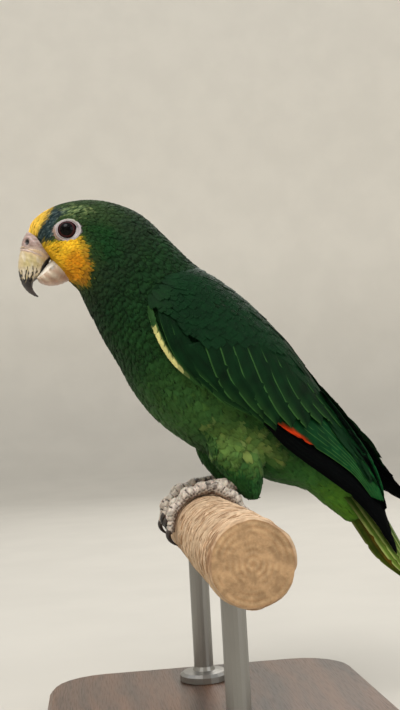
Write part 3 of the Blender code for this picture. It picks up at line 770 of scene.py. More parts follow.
# Picture colours, 0 to 255
PICTURE_COLOURS = {
    "crown": (47, 67, 36),
    "flecks": (140, 158, 104),
    "emerald": (11, 56, 22),
    "nape": (30, 50, 30),
    "neck": (22, 52, 24),
    "mantle": (13, 38, 18),
    "breast": (28, 62, 28),
    "low_breast": (59, 99, 48),
    "belly": (36, 72, 32),
    "flank": (98, 128, 62),
    "straw": (168, 176, 104),
    "thigh": (38, 84, 38),
    "vent": (60, 114, 52),
    "undertail": (94, 146, 48),
    "forehead": (248, 200, 78),
    "lore": (38, 54, 56),
    "lore_light": (118, 136, 132),
    "cheek": (250, 196, 48),
    "orange": (222, 142, 28),
    "cheek_rim": (122, 126, 34),
    "bare": (205, 196, 196),
    "lesser": (11, 42, 20),
    "covert": (7, 37, 15),
    "scapular": (13, 38, 18),
    "secondary": (10, 54, 26),
    "bright": (13, 76, 35),
    "pale_edge": (62, 104, 50),
    "bend": (208, 202, 130),
    "speculum": (214, 62, 20),
    "flight_black": (2, 3, 4),
    "flight_edge": (16, 26, 20),
    "tail": (44, 82, 26),
    "tail_light": (98, 120, 38),
    "tail_orange": (176, 104, 36),
    "tail_dark": (24, 66, 32),
    "pupil": (4, 3, 4),
    "iris": (62, 26, 26),
    "iris_rim": (32, 11, 14),
    "eyeball": (12, 7, 9),
    "ring": (196, 188, 186),
    "ring_lilac": (158, 146, 152),
    "ring_tan": (158, 126, 102),
    "lid_rim": (58, 44, 48),
    "lid_fold_shade": (110, 98, 102),
    "cere": (182, 158, 150),
    "cere_dark": (144, 120, 112),
    "cere_pale": (214, 192, 178),
    # painted shade in the nostril's dent
    "nostril": (10, 6, 6),
    "horn": (208, 188, 144),
    "horn_straw": (190, 178, 116),
    "horn_chalk": (232, 220, 198),
    "horn_pink": (226, 188, 160),
    # black horn of the cutting edge, with painted shadow of the gap between the bills
    "black_edge_and_gap_shadow": (20, 16, 18),
    "flame": (20, 16, 17),
    "flame_worn": (56, 46, 43),
    "mandible": (174, 146, 124),
    "mandible_pale": (200, 182, 160),
    "mandible_pink": (196, 150, 128),
    "mandible_spot": (112, 108, 88),
    "mandible_rim": (240, 234, 222),
    "scale": (208, 196, 182),
    "scale_groove_shade": (74, 62, 55),
    "foot_pad": (120, 98, 88),
    "foot_dust": (150, 136, 124),
    "claw_root": (66, 58, 54),
    "claw": (22, 18, 18),
    "wood": (172, 137, 104),
    "wood_ridge_highlight": (208, 180, 148),
    "wood_gouge_shade": (136, 98, 70),
    "wood_patch": (184, 154, 126),
    "sawn": (190, 158, 120),
    "sawn_ring": (168, 132, 96),
    "fibre": (178, 144, 110),
    "fibre_pale": (222, 196, 166),
}
COLOURS = {name: srgb(*colour) for name, colour in PICTURE_COLOURS.items()}
FOREHEAD = [
    (-82.0, 189.5), (-82.4, 186.8), (-83.2, 183.2), (-85.6, 179.3), (-87.2, 176.0), (-89.0, 172.5),
    (-99.0, 170.0), (-99.0, 190.0),
]
LORE = [
    (-89.5, 170.2), (-86.0, 168.4), (-82.0, 168.2), (-78.8, 171.5), (-79.2, 176.7), (-77.6, 180.6),
    (-73.0, 184.6), (-75.4, 188.4), (-81.6, 188.6), (-82.6, 183.2), (-85.2, 179.2), (-87.4, 174.6),
]
CHEEK = [
    (-90.0, 169.6), (-86.0, 168.2), (-81.9, 167.2), (-76.5, 167.4), (-72.1, 168.2), (-68.4, 169.4),
    (-66.8, 171.6), (-65.8, 170.2), (-65.2, 166.6), (-64.4, 162.0), (-62.8, 157.8), (-62.0, 153.2),
    (-62.6, 148.8), (-65.0, 145.2), (-70.0, 144.6), (-80.0, 149.0), (-88.0, 158.0),
]
# Middle of the deep orange in the cheek
CHEEK_SPOT = (-67.5, 153.0)
ORBIT = {"centre": (-71.1, 174.4), "half_width": 7.7, "half_height": 6.8}
FLECKS = [
    (-79.0, 184.0), (-76.5, 189.0), (-68.0, 190.4), (-61.6, 188.0), (-58.6, 183.4), (-64.0, 181.6),
    (-74.0, 183.0),
]
EMERALD = [(-61.4, 176.4), (-52.0, 179.0), (-44.0, 172.0), (-44.0, 160.0), (-52.0, 154.0), (-58.0, 163.6)]
FLANK = [(2.0, 57.0), (12.0, 60.4), (24.0, 55.0), (38.0, 47.0), (38.0, 40.0), (24.0, 38.0), (8.0, 44.0)]
BILL_ROOT = [
    (-99.8, 173.6), (-95.1, 172.7), (-91.1, 172.5), (-87.7, 171.0), (-87.1, 168.3), (-86.8, 165.9),
    (-84.3, 164.0), (-81.5, 161.6), (-79.8, 160.9), (-69.0, 148.2), (-74.0, 145.4), (-95.0, 158.0),
    (-101.0, 165.0),
]


def orbit_share(points):
    """Distance from the eye's middle as a share of the bare ring's size, by side view."""
    dx = (points[:, 0] - ORBIT["centre"][0]) / ORBIT["half_width"]
    dz = (points[:, 2] - ORBIT["centre"][1]) / ORBIT["half_height"]
    return np.hypot(dx, dz)


def trunk_colour(points, progress, rough):
    """The plumage colour of head, body and thighs without the marks on the face."""
    across = np.abs(points[:, 1])
    underside = ease(-(points[:, 0] * 0.62 + (points[:, 2] - 120.0) * 0.55), -6.0, 22.0)
    lower = ease(progress, station("shoulder"), station("back"))
    front = mix(COLOURS["breast"], COLOURS["low_breast"], lower)
    trunk = mix(COLOURS["mantle"], front, underside)
    colour = COLOURS["crown"]
    for name, low, high in (("nape", "crown", "nape"), ("neck", "nape", "hindneck")):
        colour = mix(colour, COLOURS[name], ease(progress, station(low), station(high)))
    colour = mix(colour, trunk, ease(progress, station("hindneck"), station("shoulder")))
    rear = (("belly", "back", "belly"), ("vent", "flank", "vent"), ("undertail", "vent", "tail_root"))
    for name, low, high in rear:
        colour = mix(colour, COLOURS[name], ease(progress, station(low), station(high)))
    thigh = ease(across, 11.0, 17.0) * ease(points[:, 2], 48.0, 36.0) * ease(points[:, 0], -2.0, 5.0)
    colour = mix(colour, COLOURS["thigh"], thigh * ease(points[:, 0], 40.0, 34.0))
    flank = ease(within(points, FLANK) + 2.2 * rough, -5.0, 3.0) * ease(across, 18.0, 25.0)
    colour = mix(colour, COLOURS["flank"], 0.75 * flank)
    straw = flank * ease(waves(points, 9.0, 31), 0.35, 1.0)
    return mix(colour, COLOURS["straw"], 0.55 * straw)


def body_colour(points, progress):
    """The plumage colour at each point of head, body and thighs."""
    across = np.abs(points[:, 1])
    rough = waves(points, 7.0, 11) * 0.9 + waves(points, 2.6, 12) * 0.7
    colour = trunk_colour(points, progress, rough)
    fleck = ease(within(points, FLECKS) + rough, -1.5, 1.5) * ease(waves(points, 2.4, 32), -0.1, 0.6)
    colour = mix(colour, COLOURS["flecks"], 0.9 * fleck)
    emerald = ease(within(points, EMERALD) + 1.5 * rough, -5.0, 4.0)
    colour = mix(colour, COLOURS["emerald"], 0.75 * emerald)
    chin = np.clip(ease(across, 1.5, 4.5) + ease(points[:, 2], 146.0, 152.0), 0, 1)
    cheek_in = within(points, CHEEK) + 0.9 * rough
    colour = mix(colour, COLOURS["cheek_rim"], 0.8 * (ease(cheek_in, -2.6, -0.2) * chin))
    from_spot = np.hypot(points[:, 0] - CHEEK_SPOT[0], (points[:, 2] - CHEEK_SPOT[1]) * 0.75)
    deep = np.clip(0.85 * ease(from_spot, 9.5, 3.5) + 0.12 * rough, 0, 1)
    cheek = mix(COLOURS["cheek"], COLOURS["orange"], deep)
    colour = mix(colour, cheek, ease(cheek_in, -0.8, 0.8) * chin)
    lore = ease(within(points, LORE) + 0.5 * rough, -0.8, 0.8)
    grey = mix(COLOURS["lore"], COLOURS["lore_light"], 0.6 * ease(waves(points, 2.2, 33), 0.2, 1.0))
    colour = mix(colour, grey, lore * ease(across, 1.5, 6.0))
    front_band = ease(within(points, FOREHEAD) + 0.6 * rough, -0.8, 0.8)
    return mix(colour, COLOURS["forehead"], front_band)


# ---------------------------------------------------------------- skin


def make_skin():
    """One skin under the coat: head, body, thighs and the flesh of the folded wings."""
    rows = np.linspace(0, 1, BODY_RINGS)
    trunk = section_grid(BODY, BODY_STEPS, BODY_SIDES, BODY_SQUARENESS, coat_depth(rows))
    shapes = [trunk, thigh_grid(-1, 1.4), thigh_grid(1, 1.4)]
    for side in SIDES.values():
        fleshy = dict(list(WING.items())[:FLESHY_STATIONS])
        outer = wing_face(fleshy, 5, 25, 1, inset=2.9, drawn=4.5)
        inner = wing_face(fleshy, 5, 25, -1, inset=2.5, drawn=4.5)
        shapes.append(to_side(np.hstack([outer, inner[:, ::-1]]), side))
    points, quads = fused(shapes, voxel=0.95, smoothing=4)
    normals, quads = facing_out(points, quads)
    progress = CHART.read(points)[0]
    goose_bumps = waves(points, 2.2, 41) * 0.12 + waves(points, 9.0, 42) * 0.2
    creases = -0.45 * bell(orbit_share(points), 1.25, 0.06) * ease(points[:, 0], -50, -60)
    points = points + normals * (goose_bumps + creases)[:, None]
    outer_wing = ease(np.abs(points[:, 1]), 24.0, 30.0) * ease(points[:, 0], -26.0, -18.0)
    # Painted shade: the coat's colours at 0.62, for the skin that shows in the shade between the vanes
    tint = mix(body_colour(points, progress) * 0.62, COLOURS["covert"], outer_wing)
    bare = ease(orbit_share(points), 1.25, 1.05) * ease(points[:, 0], -52, -56)
    tint = mix(tint, COLOURS["bare"], bare)
    mesh = make_mesh("skin", points, quads, tint=tint)
    flesh = ["head", "neck", "breast", "belly", "rump", "thigh_left", "thigh_right"]
    make_piece("skin", mesh, skin_finish(), flesh)


# ---------------------------------------------------------------- small feathers

LINE_STEPS = 5
TUFT_PATCH = 0.003
TRIES_PER_ROOT = 9


def vane_shape(lengths, columns):
    """A closed, lens-shaped vane: a root point, ragged rows across, and a plainer underside.

    Returns shares along and across, how far each point may fray, which points are underneath,
    quads and triangles.
    """
    rows, wide = len(lengths), len(columns)
    index = 1 + np.arange(rows * wide).reshape(rows, wide)
    under = np.concatenate([index[-2, :1], 1 + rows * wide + np.arange(wide - 2), index[-2, -1:]])
    quads, tris = [], []
    for j in range(wide - 1):
        tris.append((0, index[0, j + 1], index[0, j]))
        for i in range(rows - 1):
            quads.append((index[i, j], index[i, j + 1], index[i + 1, j + 1], index[i + 1, j]))
    tris.append((0, index[0, 0], index[0, -1]))
    for i in range(rows - 3):
        quads.append((index[i, 0], index[i + 1, 0], index[i + 1, -1], index[i, -1]))
    for j in range(wide - 1):
        tris.append((index[-3, 0], under[j], under[j + 1]))
        quads.append((under[j], index[-1, j], index[-1, j + 1], under[j + 1]))
    tris.append((index[-3, 0], under[-1], index[-3, -1]))
    along = np.concatenate([[0.0], np.repeat(lengths, wide), np.full(wide - 2, lengths[-2])])
    across = np.concatenate([[0.0], np.tile(columns, rows), columns[1:-1]])
    fray = np.zeros(len(along))
    fray[index[-1]] = lengths[-1] - lengths[-2]
    below = np.zeros(len(along))
    below[under[1:-1]] = 1.0
    return along, across, fray, below, np.array(quads), np.array(tris)


FINE_VANE = vane_shape((0.3, 0.6, 0.9), (-1.0, -0.66, -0.33, 0.0, 0.33, 0.66, 1.0))
BODY_VANE = vane_shape(
    (0.14, 0.36, 0.58, 0.74, 0.92), (-1.0, -0.8, -0.6, -0.4, -0.2, 0.0, 0.2, 0.4, 0.6, 0.8, 1.0)
)
COVERT_VANE = vane_shape(
    (0.1, 0.28, 0.48, 0.66, 0.8, 0.9, 0.96), (-1.0, -0.8, -0.45, -0.07, 0.0, 0.07, 0.45, 0.8, 1.0)
)


def vane_width(along, roundness):
    """Half width along a vane: narrow at its root, widest past the middle, rounded at its tip."""
    rise = 0.42 + 0.58 * np.sin(np.clip(along / 0.6, 0, 1) * math.pi / 2)
    fall = np.clip(1 - np.clip((along - 0.52) / 0.5, 0, 1) ** roundness, 0, 1) ** 0.5
    return rise * fall


def strewn(surface, spacing, dice):
    """Many random places on a surface, with the spacing that holds at each."""
    points, quads = surface.points, surface.quads
    a, b, c, d = (points[quads[:, i]] for i in range(4))
    area = np.linalg.norm(np.cross(c - a, d - b), axis=1)
    tries = int(area.sum() / 2 / spacing.min() ** 2 * TRIES_PER_ROOT)
    face = dice.choice(len(quads), size=tries, p=area / area.sum())
    u, v = dice.random((2, tries, 1))
    place = (a[face] * (1 - u) + b[face] * u) * (1 - v) + (d[face] * (1 - u) + c[face] * u) * v
    return place, spacing[quads[face, 0]]


def scattered(surface, spacing, seed, keep):
    """Root places strewn over a surface, none nearer to another than the spacing at its place."""
    place, gap = strewn(surface, spacing, np.random.default_rng(seed))
    chosen = keep(place)
    place, gap = place[chosen], gap[chosen]
    boxes = np.floor(place / spacing.max()).astype(int)
    around = [(i, j, k) for i in (-1, 0, 1) for j in (-1, 0, 1) for k in (-1, 0, 1)]
    taken, picked = {}, []
    for n, (x, y, z) in enumerate(boxes):
        p, limit = place[n], gap[n] ** 2
        near = (place[m] for i, j, k in around for m in taken.get((x + i, y + j, z + k), ()))
        if all((p[0] - q[0]) ** 2 + (p[1] - q[1]) ** 2 + (p[2] - q[2]) ** 2 >= limit for q in near):
            taken.setdefault((x, y, z), []).append(n)
            picked.append(n)
    return place[picked]


def combed(surface, roots, lie, lengths):
    """Middle lines that follow a surface from each root along the lie: places, normals."""
    places = np.empty((len(roots), LINE_STEPS, 3))
    normals = np.empty_like(places)
    for n in range(len(roots)):
        place, normal = surface.nearest(roots[n])
        way = lie[n]
        step = lengths[n] / (LINE_STEPS - 1)
        for i in range(LINE_STEPS):
            places[n, i], normals[n, i] = place, normal
            way = way - normal * (way @ normal)
            way /= max(np.linalg.norm(way), 1e-6)
            if i < LINE_STEPS - 1:
                place, normal = surface.nearest(place + way * step)
    return places, normals


def along_lines(values, along):
    """Values given along each middle line, read at the shares in along (feathers x points)."""
    at = np.clip(along, 0.0, 1.25) * (LINE_STEPS - 1)
    low = np.clip(np.floor(at).astype(int), 0, LINE_STEPS - 2)
    share = (at - low)[..., None]
    n = np.arange(len(values))[:, None]
    return values[n, low] * (1 - share) + values[n, low + 1] * share


def feather_coat(places, normals, width, shape, dice, root_depth, tip_lift, raggedness, roundness):
    """Solid vanes on middle lines: points, shares along and across, and outward directions."""
    along0, across0, fray, below, _, _ = shape
    count, size = len(places), len(along0)
    tangent = unit(np.gradient(places, axis=1))
    side = unit(np.cross(tangent, normals))
    along = along0[None] + raggedness * fray * dice.uniform(-0.85, 0.75, (count, size))
    across = np.broadcast_to(across0, (count, size))
    reach = width[:, None] * vane_width(np.clip(along0, 0, 1), roundness)[None]
    reach = np.where(fray[None] > 0, width[:, None] * 0.72, reach)
    spread = across * reach
    bow = dice.normal(0, 0.06, (count, 1)) * width[:, None] * 4
    spread = spread + bow * along**2
    rise = -root_depth[:, None] * np.clip(1 - along, 0, 1) ** 1.2 + tip_lift[:, None] * along
    crown = (1 - across**2) * (0.08 + 0.04 * width[:, None]) * (0.4 + 0.6 * np.clip(along * 3, 0, 1))
    ridge = bell(across, 0.0, 0.1) * 0.04 * np.clip(width[:, None], 0, 2)
    twist = dice.normal(0, 0.05, (count, 1)) * across * width[:, None]
    height = rise + twist + np.where(below[None] > 0, -0.06, crown + ridge)
    points = (
        along_lines(places, along)
        + along_lines(side, along) * spread[..., None]
        + along_lines(normals, along) * height[..., None]
    )
    return points, along, across, along_lines(normals, along)


def gather(shape, points, lean):
    """Faces of many like vanes, numbered for one mesh, their upper sides turned outwards."""
    quads, tris = shape[-2:]
    count, size = points.shape[:2]
    a, b, c, d = (points[:, quads[0, i]] for i in range(4))
    if (np.cross(c - a, d - b) * lean[:, quads[0, 0]]).sum() < 0:
        quads, tris = quads[:, ::-1], tris[:, ::-1]
    start = (np.arange(count) * size)[:, None, None]
    return (quads[None] + start).reshape(-1, 4), (tris[None] + start).reshape(-1, 3)


def feather_piece(name, shape, vanes, tint, root_uv, width, length, material, soft=LEAN_SHARE):
    """Many vanes as one piece, with the bake map at the roots' places and a map along the barbs."""
    points, along, across, lean = vanes
    quads, tris = gather(shape, points, lean)
    patch = np.stack([across * 0.5, along - 0.5], -1) * TUFT_PATCH
    bake = np.clip(root_uv[:, None, :] + patch, 0.0, 1.0)
    vane = np.stack([across * width[:, None], along * length[:, None]], -1)
    maps = {"OFBake": bake.reshape(-1, 2), "Vane": vane.reshape(-1, 2)}
    mesh = make_mesh(name, points, quads, tris, tint.reshape(-1, 3), maps, lean=lean, soft=soft)
    return make_piece(name, mesh, material)


def spread_uv(values):
    """Chart places stretched to fill the map, away from its rim."""
    low, high = values.min(0), values.max(0)
    return 0.01 + 0.98 * (values - low) / np.maximum(high - low, 1e-6)


# tract: stations, spacing, length, half width, raggedness, roundness, darker rim, tip lift
TRACTS = {
    "face_feathers": ("face", "forehead", 0.98, 4.2, 0.58, 0.8, 1.6, 0.0, 0.06),
    "head_feathers": ("forehead", "hindcrown", 1.22, 5.8, 0.92, 0.7, 2.0, 0.10, 0.08),
    "nape_feathers": ("hindcrown", "hindneck", 1.8, 9.0, 1.8, 0.6, 2.4, 0.42, 0.14),
    "neck_feathers": ("hindneck", "shoulder", 2.2, 12.0, 2.4, 0.6, 2.0, 0.30, 0.15),
    "breast_feathers": ("shoulder", "back", 2.6, 14.5, 2.9, 0.55, 1.7, 0.04, 0.18),
    "belly_feathers": ("back", "vent", 2.6, 14.0, 2.9, 0.55, 1.6, 0.03, 0.18),
    "rump_feathers": ("vent", "undertail", 2.6, 15.0, 3.0, 0.7, 1.8, 0.08, 0.16),
    "thigh_feathers": ("vent", "vent", 2.2, 11.0, 2.2, 0.55, 1.6, 0.03, 0.16),
}


def tract_bounds(tract):
    """From where to where a tract's roots lie; the first and the last one take all beyond."""
    first, last = TRACTS[tract][:2]
    low = -1.0 if first == "face" else station(first)
    high = 2.0 if last == "undertail" else station(last)
    return low, high


def tract_value(progress, column):
    """A number of the trunk's tracts, blended smoothly from bill to tail."""
    trunk = [row for name, row in TRACTS.items() if name != "thigh_feathers"]
    middles = [(station(first) + station(last)) / 2 for first, last, *_ in trunk]
    return np.interp(progress, middles, [row[column] for row in trunk])


# Where the face's feathers start: the middle of the bill's root
FACE_CENTRE = np.array([-90.0, 0.0, 161.0])


def thigh_share(points, distance):
    """1 on a thigh, where the coat stands off the trunk's own shape, 0 on the trunk."""
    return ease(distance, 0.8, 3.5) * ease(points[:, 2], 58, 46)


def eye_share(points, inner):
    """1 within this share of the bare ring's size round an eye, 0 well away from it."""
    return ease(orbit_share(points), 1.9, inner) * ease(points[:, 0], -50, -58)


def body_lie(points, lie, distance):
    """The lie of the body coat: back from the bill, along the body, and down the thighs."""
    from_bill = points - FACE_CENTRE
    near_face = ease(np.linalg.norm(from_bill, axis=1), 24.0, 15.0) * ease(points[:, 0], -66, -76)
    way = unit(mix(unit(lie), unit(from_bill), 0.9 * near_face))
    return unit(mix(way, (0.25, 0.0, -1.0), thigh_share(points, distance)))


def over_orbit(points):
    """Which points lie on the bare ring round an eye."""
    return (orbit_share(points) < 0.97) & (points[:, 0] < -55)


def covered(points):
    """Where the bill or the bare ring stands in for feathers."""
    bill = (within(points, BILL_ROOT) > -0.3) & (np.abs(points[:, 1]) < 10.8)
    return over_orbit(points) | bill


def coat_spacing():
    """The distance between roots at each point of the guide: closer by the eyes and on the thighs."""
    progress, _, _, distance = CHART.read(GUIDE.points)
    spacing = tract_value(progress, 2) * (1 - 0.25 * eye_share(GUIDE.points, 1.1))
    return spacing * (1 - 0.18 * thigh_share(GUIDE.points, distance))


def body_vanes(tract, coat, mine, dice):
    """Shape, vanes and tint of one tract's feathers, picked by number from the coat's arrays."""
    ragged, roundness, dark_rim, lift = TRACTS[tract][5:]
    shape = FINE_VANE if tract in ("face_feathers", "head_feathers") else BODY_VANE
    depth = coat_depth(coat["progress"][mine]) * 0.6
    tip = lift * dice.uniform(0.3, 1.3, len(mine))
    lines = (coat[key][mine] for key in ("places", "normals", "half"))
    vanes = feather_coat(*lines, shape, dice, depth, tip, ragged, roundness)
    _, along, across, _ = vanes
    # Each feather's random tone, darker towards its root as painted shade under the feathers that overlap it
    tone = dice.normal(1.0, 0.08, (len(mine), 1)) * (0.82 + 0.24 * ease(along, 0.1, 0.75))
    rim = np.maximum(ease(np.abs(across), 0.6, 1.0), ease(along, 0.8, 0.97))
    tone *= 1 - dark_rim * rim * ease(along, 0.3, 0.7)
    hue = dice.normal(0, 0.05, (len(mine), 1, 1)) * np.array([1.0, 0.2, -0.6])
    return shape, vanes, coat["colour"][mine][:, None, :] * tone[..., None] * (1 + hue)


def make_body_coat():
    """The small feathers of head, neck, body and thighs, tract by tract."""
    roots = scattered(GUIDE, coat_spacing(), 5, lambda p: ~covered(p))
    progress, turn, lie, distance = CHART.read(roots)
    dice = np.random.default_rng(17)
    way = body_lie(roots, lie, distance)
    way = unit(way + dice.normal(0, 0.10, way.shape))
    by_eye, on_thigh = eye_share(roots, 1.05), thigh_share(roots, distance)
    length = tract_value(progress, 3) * dice.uniform(0.85, 1.15, len(roots)) * (1 - 0.4 * by_eye)
    length *= (1 - 0.2 * on_thigh) * (1 - 0.45 * on_thigh * ease(roots[:, 2], 34, 18))
    half = tract_value(progress, 4) * dice.uniform(0.85, 1.15, len(roots)) * (1 - 0.25 * by_eye)
    places, normals = combed(GUIDE, roots, way, length)
    near_tips = places[:, -2]
    colour = body_colour(roots, progress) + body_colour(near_tips, CHART.read(near_tips)[0])
    coat = {"progress": progress, "places": places, "normals": normals, "half": half, "colour": 0.5 * colour}
    material = feather_finish("plumage", 0.3, 0.66, 0.05)
    on_leg, free = on_thigh > 0.5, ~over_orbit(places[:, -1])
    for tract in TRACTS:
        low, high = tract_bounds(tract)
        on_tract = (progress >= low) & (progress < high) & ~on_leg
        mine = np.nonzero((on_leg if tract == "thigh_feathers" else on_tract) & free)[0]
        shape, vanes, tint = body_vanes(tract, coat, mine, dice)
        uv = spread_uv(np.stack([turn[mine], progress[mine]], 1))
        feather_piece(tract, shape, vanes, tint, uv, half[mine], length[mine], material)


# ---------------------------------------------------------------- folded wings

LESSER = [
    (-34.0, 152.0), (0.0, 158.0), (26.0, 148.0), (52.0, 118.0), (76.0, 90.0), (90.0, 66.0), (99.0, 42.0),
    (85.0, 42.0), (67.0, 66.0), (55.0, 86.0), (43.0, 104.0), (30.0, 113.0), (16.0, 114.0), (4.0, 111.0),
    (-7.0, 113.0), (-15.0, 120.0), (-21.0, 127.0), (-32.0, 138.0),
]
# Exposed edges (x, z) from the hidden root to the tip, whole width in mm
GREATER_COVERTS = [
    ([(-7.0, 103.0), (-4.2, 92.0), (0.6, 80.5), (9.0, 71.0), (16.5, 66.6)], 11.0),
    ([(0.0, 110.0), (3.2, 98.0), (7.8, 82.5), (15.7, 69.8), (24.6, 63.4)], 12.0),
    ([(6.5, 114.0), (10.7, 100.0), (15.2, 82.1), (23.1, 69.4), (32.6, 59.4)], 12.5),
    ([(16.0, 112.0), (19.0, 98.0), (23.6, 80.0), (30.0, 67.0), (40.0, 55.8)], 12.5),
    ([(24.5, 109.0), (28.4, 94.0), (33.8, 77.0), (40.4, 63.6), (48.6, 53.8)], 12.5),
    ([(34.0, 104.0), (37.8, 90.0), (43.0, 74.6), (49.6, 62.4), (57.6, 53.2)], 12.5),
    ([(42.5, 100.0), (46.6, 87.0), (52.4, 72.4), (60.2, 61.2), (67.4, 54.6)], 11.0),
    ([(50.0, 95.0), (54.6, 83.0), (61.0, 70.0), (68.6, 60.0), (75.0, 54.0)], 8.0),
    ([(56.0, 94.0), (60.6, 82.6), (67.4, 70.6), (74.6, 60.0), (80.6, 52.0)], 5.0),
]
HAND_COVERTS = [
    ([(-23.0, 124.0), (-20.6, 112.0), (-15.6, 98.6), (-8.2, 87.0), (-1.0, 79.6)], 5.0),
    ([(-19.6, 121.0), (-17.8, 108.5), (-13.0, 96.0), (-5.0, 84.6), (4.6, 75.8)], 5.4),
    ([(-16.0, 119.0), (-13.8, 107.0), (-9.0, 96.0), (-1.6, 85.4), (8.0, 76.0)], 6.0),
    ([(-12.0, 100.0), (-4.6, 86.0), (4.6, 75.2), (15.4, 67.8), (26.0, 61.8)], 6.4),
    ([(-8.0, 98.0), (-0.6, 85.4), (8.4, 74.8), (20.0, 66.6), (33.0, 57.2)], 6.8),
    ([(-4.0, 96.0), (4.0, 83.0), (13.0, 73.6), (26.0, 63.8), (39.6, 52.8)], 7.0),
]
SECONDARY_LOW = [
    (20.0, 72.0), (38.0, 58.8), (49.0, 50.6), (62.3, 42.0), (76.5, 32.4), (87.0, 23.6), (96.4, 11.0),
]
SECONDARY_HIGH = [
    (61.6, 84.6), (66.6, 76.8), (73.4, 66.4), (81.2, 53.4), (89.8, 38.8), (96.8, 23.6), (103.0, 8.4),
]
SECONDARY_COUNT = 10
BEND_EDGE = [
    (-28.4, 126.5), (-27.0, 118.0), (-24.4, 109.1), (-20.6, 100.1), (-15.4, 92.0), (-8.6, 85.2),
    (-0.4, 78.4),
]
BEND_FEATHERS = 11
BEND_OVERLAP = 3
SPECULUM = [
    (36.0, 60.5), (41.7, 56.6), (49.2, 54.0), (54.6, 49.4), (61.5, 43.4), (60.0, 41.6), (51.4, 47.6),
    (44.0, 52.0), (35.0, 57.5),
]
PRIMARY_EDGE = [
    (16.0, 74.0), (30.0, 61.0), (43.0, 45.5), (55.9, 34.4), (70.0, 24.0), (84.0, 12.4), (95.0, 0.4),
    (103.2, -12.2), (110.6, -23.0),
]
PRIMARY_COUNT = 8
PRIMARY_STEP = 2.3
BLADE_ROWS = 44
BLADE_COLUMNS = np.array([0.0, 0.03, 0.06, 0.13, 0.27, 0.335, 0.36, 0.385, 0.46, 0.64, 0.83, 0.95, 1.0])
SHAFT = 0.36


def plate_faces(rows, columns):
    """Quads of a thin closed plate: a grid of top points, the same below, and a rim."""
    top = sheet_faces(rows, columns)
    size = rows * columns
    first = np.arange(columns)
    right = np.arange(rows) * columns + columns - 1
    last = np.arange(size - 1, size - columns - 1, -1)
    left = np.arange(rows - 1, -1, -1) * columns
    rim = np.concatenate([first, right[1:], last[1:], left[1:]])
    a, b = rim[:-1], rim[1:]
    sides = np.stack([b, a, a + size, b + size], -1)
    return np.vstack([top, top[:, ::-1] + size, sides])


PLATE = plate_faces(BLADE_ROWS, len(BLADE_COLUMNS))
BLADE_ALONG = 1 - (1 - np.linspace(0, 1, BLADE_ROWS)) ** 1.25
# points and lean: blades x 2 faces x rows x columns x 3; shares across: blades x rows x columns;
# laid: the upper faces as they lie on the left wing, y outwards
Blades = namedtuple("Blades", "points lean shares laid")


def blade_profile(along, pointed):
    """Width of a flight feather along its length, as a share of its whole width."""
    rise = 0.78 + 0.22 * ease(along, 0.0, 0.35)
    fall = np.clip(1 - np.clip((along - 0.70) / 0.30, 0, 1) ** pointed, 0.0, 1.0) ** 0.55
    return rise * fall


def frayed_shares(dice):
    """Shares across a feather by row and column, drawn in where its barbs have come apart."""
    share = np.tile(BLADE_COLUMNS, (BLADE_ROWS, 1))
    step = 0.004 * np.arange(len(BLADE_COLUMNS))
    first, last = int(BLADE_ROWS * 0.35), BLADE_ROWS - 4
    for place in dice.integers(first, last, 2):
        share[place] = np.maximum(share[place], dice.uniform(0.05, 0.12) + step)
    for place in dice.integers(first, last, 2):
        share[place] = np.minimum(share[place], 1 - dice.uniform(0.05, 0.16) - step[::-1])
    return share


def inner_side(line):
    """Directions square to a feather's line in the side view, towards the bird's back."""
    way = unit(np.gradient(line, axis=0))
    inner = np.stack([-way[:, 1], way[:, 0]], 1)
    inner[(inner @ (0.75, 0.66)) < 0] *= -1
    return inner


def blade_sheet(edge, width, pointed, dice):
    """A flight feather in the side view: rows x columns x (x, z), and its shares across."""
    count = 160
    line = resampled(edge, count)
    at = BLADE_ALONG * (count - 1)
    line = np.stack([np.interp(at, np.arange(count), line[:, i]) for i in range(2)], 1)
    share = frayed_shares(dice)
    reach = width * blade_profile(BLADE_ALONG, pointed)[:, None] * share
    ripple = dice.normal(0, 0.12, 3)
    wave = sum(r * np.sin(BLADE_ALONG * (9 + 7 * k) + k) for k, r in enumerate(ripple))
    return line[:, None] + inner_side(line)[:, None] * (reach + wave[:, None] * 0.6)[..., None], share


def laid_blades(edges, surface, depths, roll, pointed, seed, side, stretch=1.0):
    """Flight feathers laid on a side's folded wing, each with its upper and its under face.

    edges: exposed edge and width of each; depths: its height over the surface at root and tip.
    """
    dice = np.random.default_rng(seed)
    points, shares, leans = [], [], []
    along = BLADE_ALONG[:, None]
    for (edge, width), (root_depth, tip_depth) in zip(edges, depths):
        flat, share = blade_sheet(edge, width * stretch, pointed, dice)
        laid = [surface.dropped(x, z) for x, z in flat.reshape(-1, 2)]
        top, normal = np.array(laid).swapaxes(0, 1).reshape(2, *share.shape, 3)
        height = root_depth + (tip_depth - root_depth) * ease(along, 0.0, 0.8)
        height = height + roll * (0.5 - share) + 0.10 * width * share * (1 - share)
        shaft = bell(share, SHAFT, 0.022)
        thick = (0.16 + 0.22 * shaft) * (1 - 0.4 * along)
        barbs = 0.03 * np.sin(along * 260 + share * 14)
        upper = top + normal * (height + 0.14 * shaft * (1 - along) + barbs)[..., None]
        lower = top + normal * (height - 2 * thick)[..., None]
        points.append(np.stack([upper, lower]))
        leans.append(np.stack([normal, -normal]))
        shares.append(share)
    points, leans = np.array(points), np.array(leans)
    moved = to_side(points, side)
    return Blades(moved, to_side(points + leans, side) - moved, np.array(shares), points[:, :1])


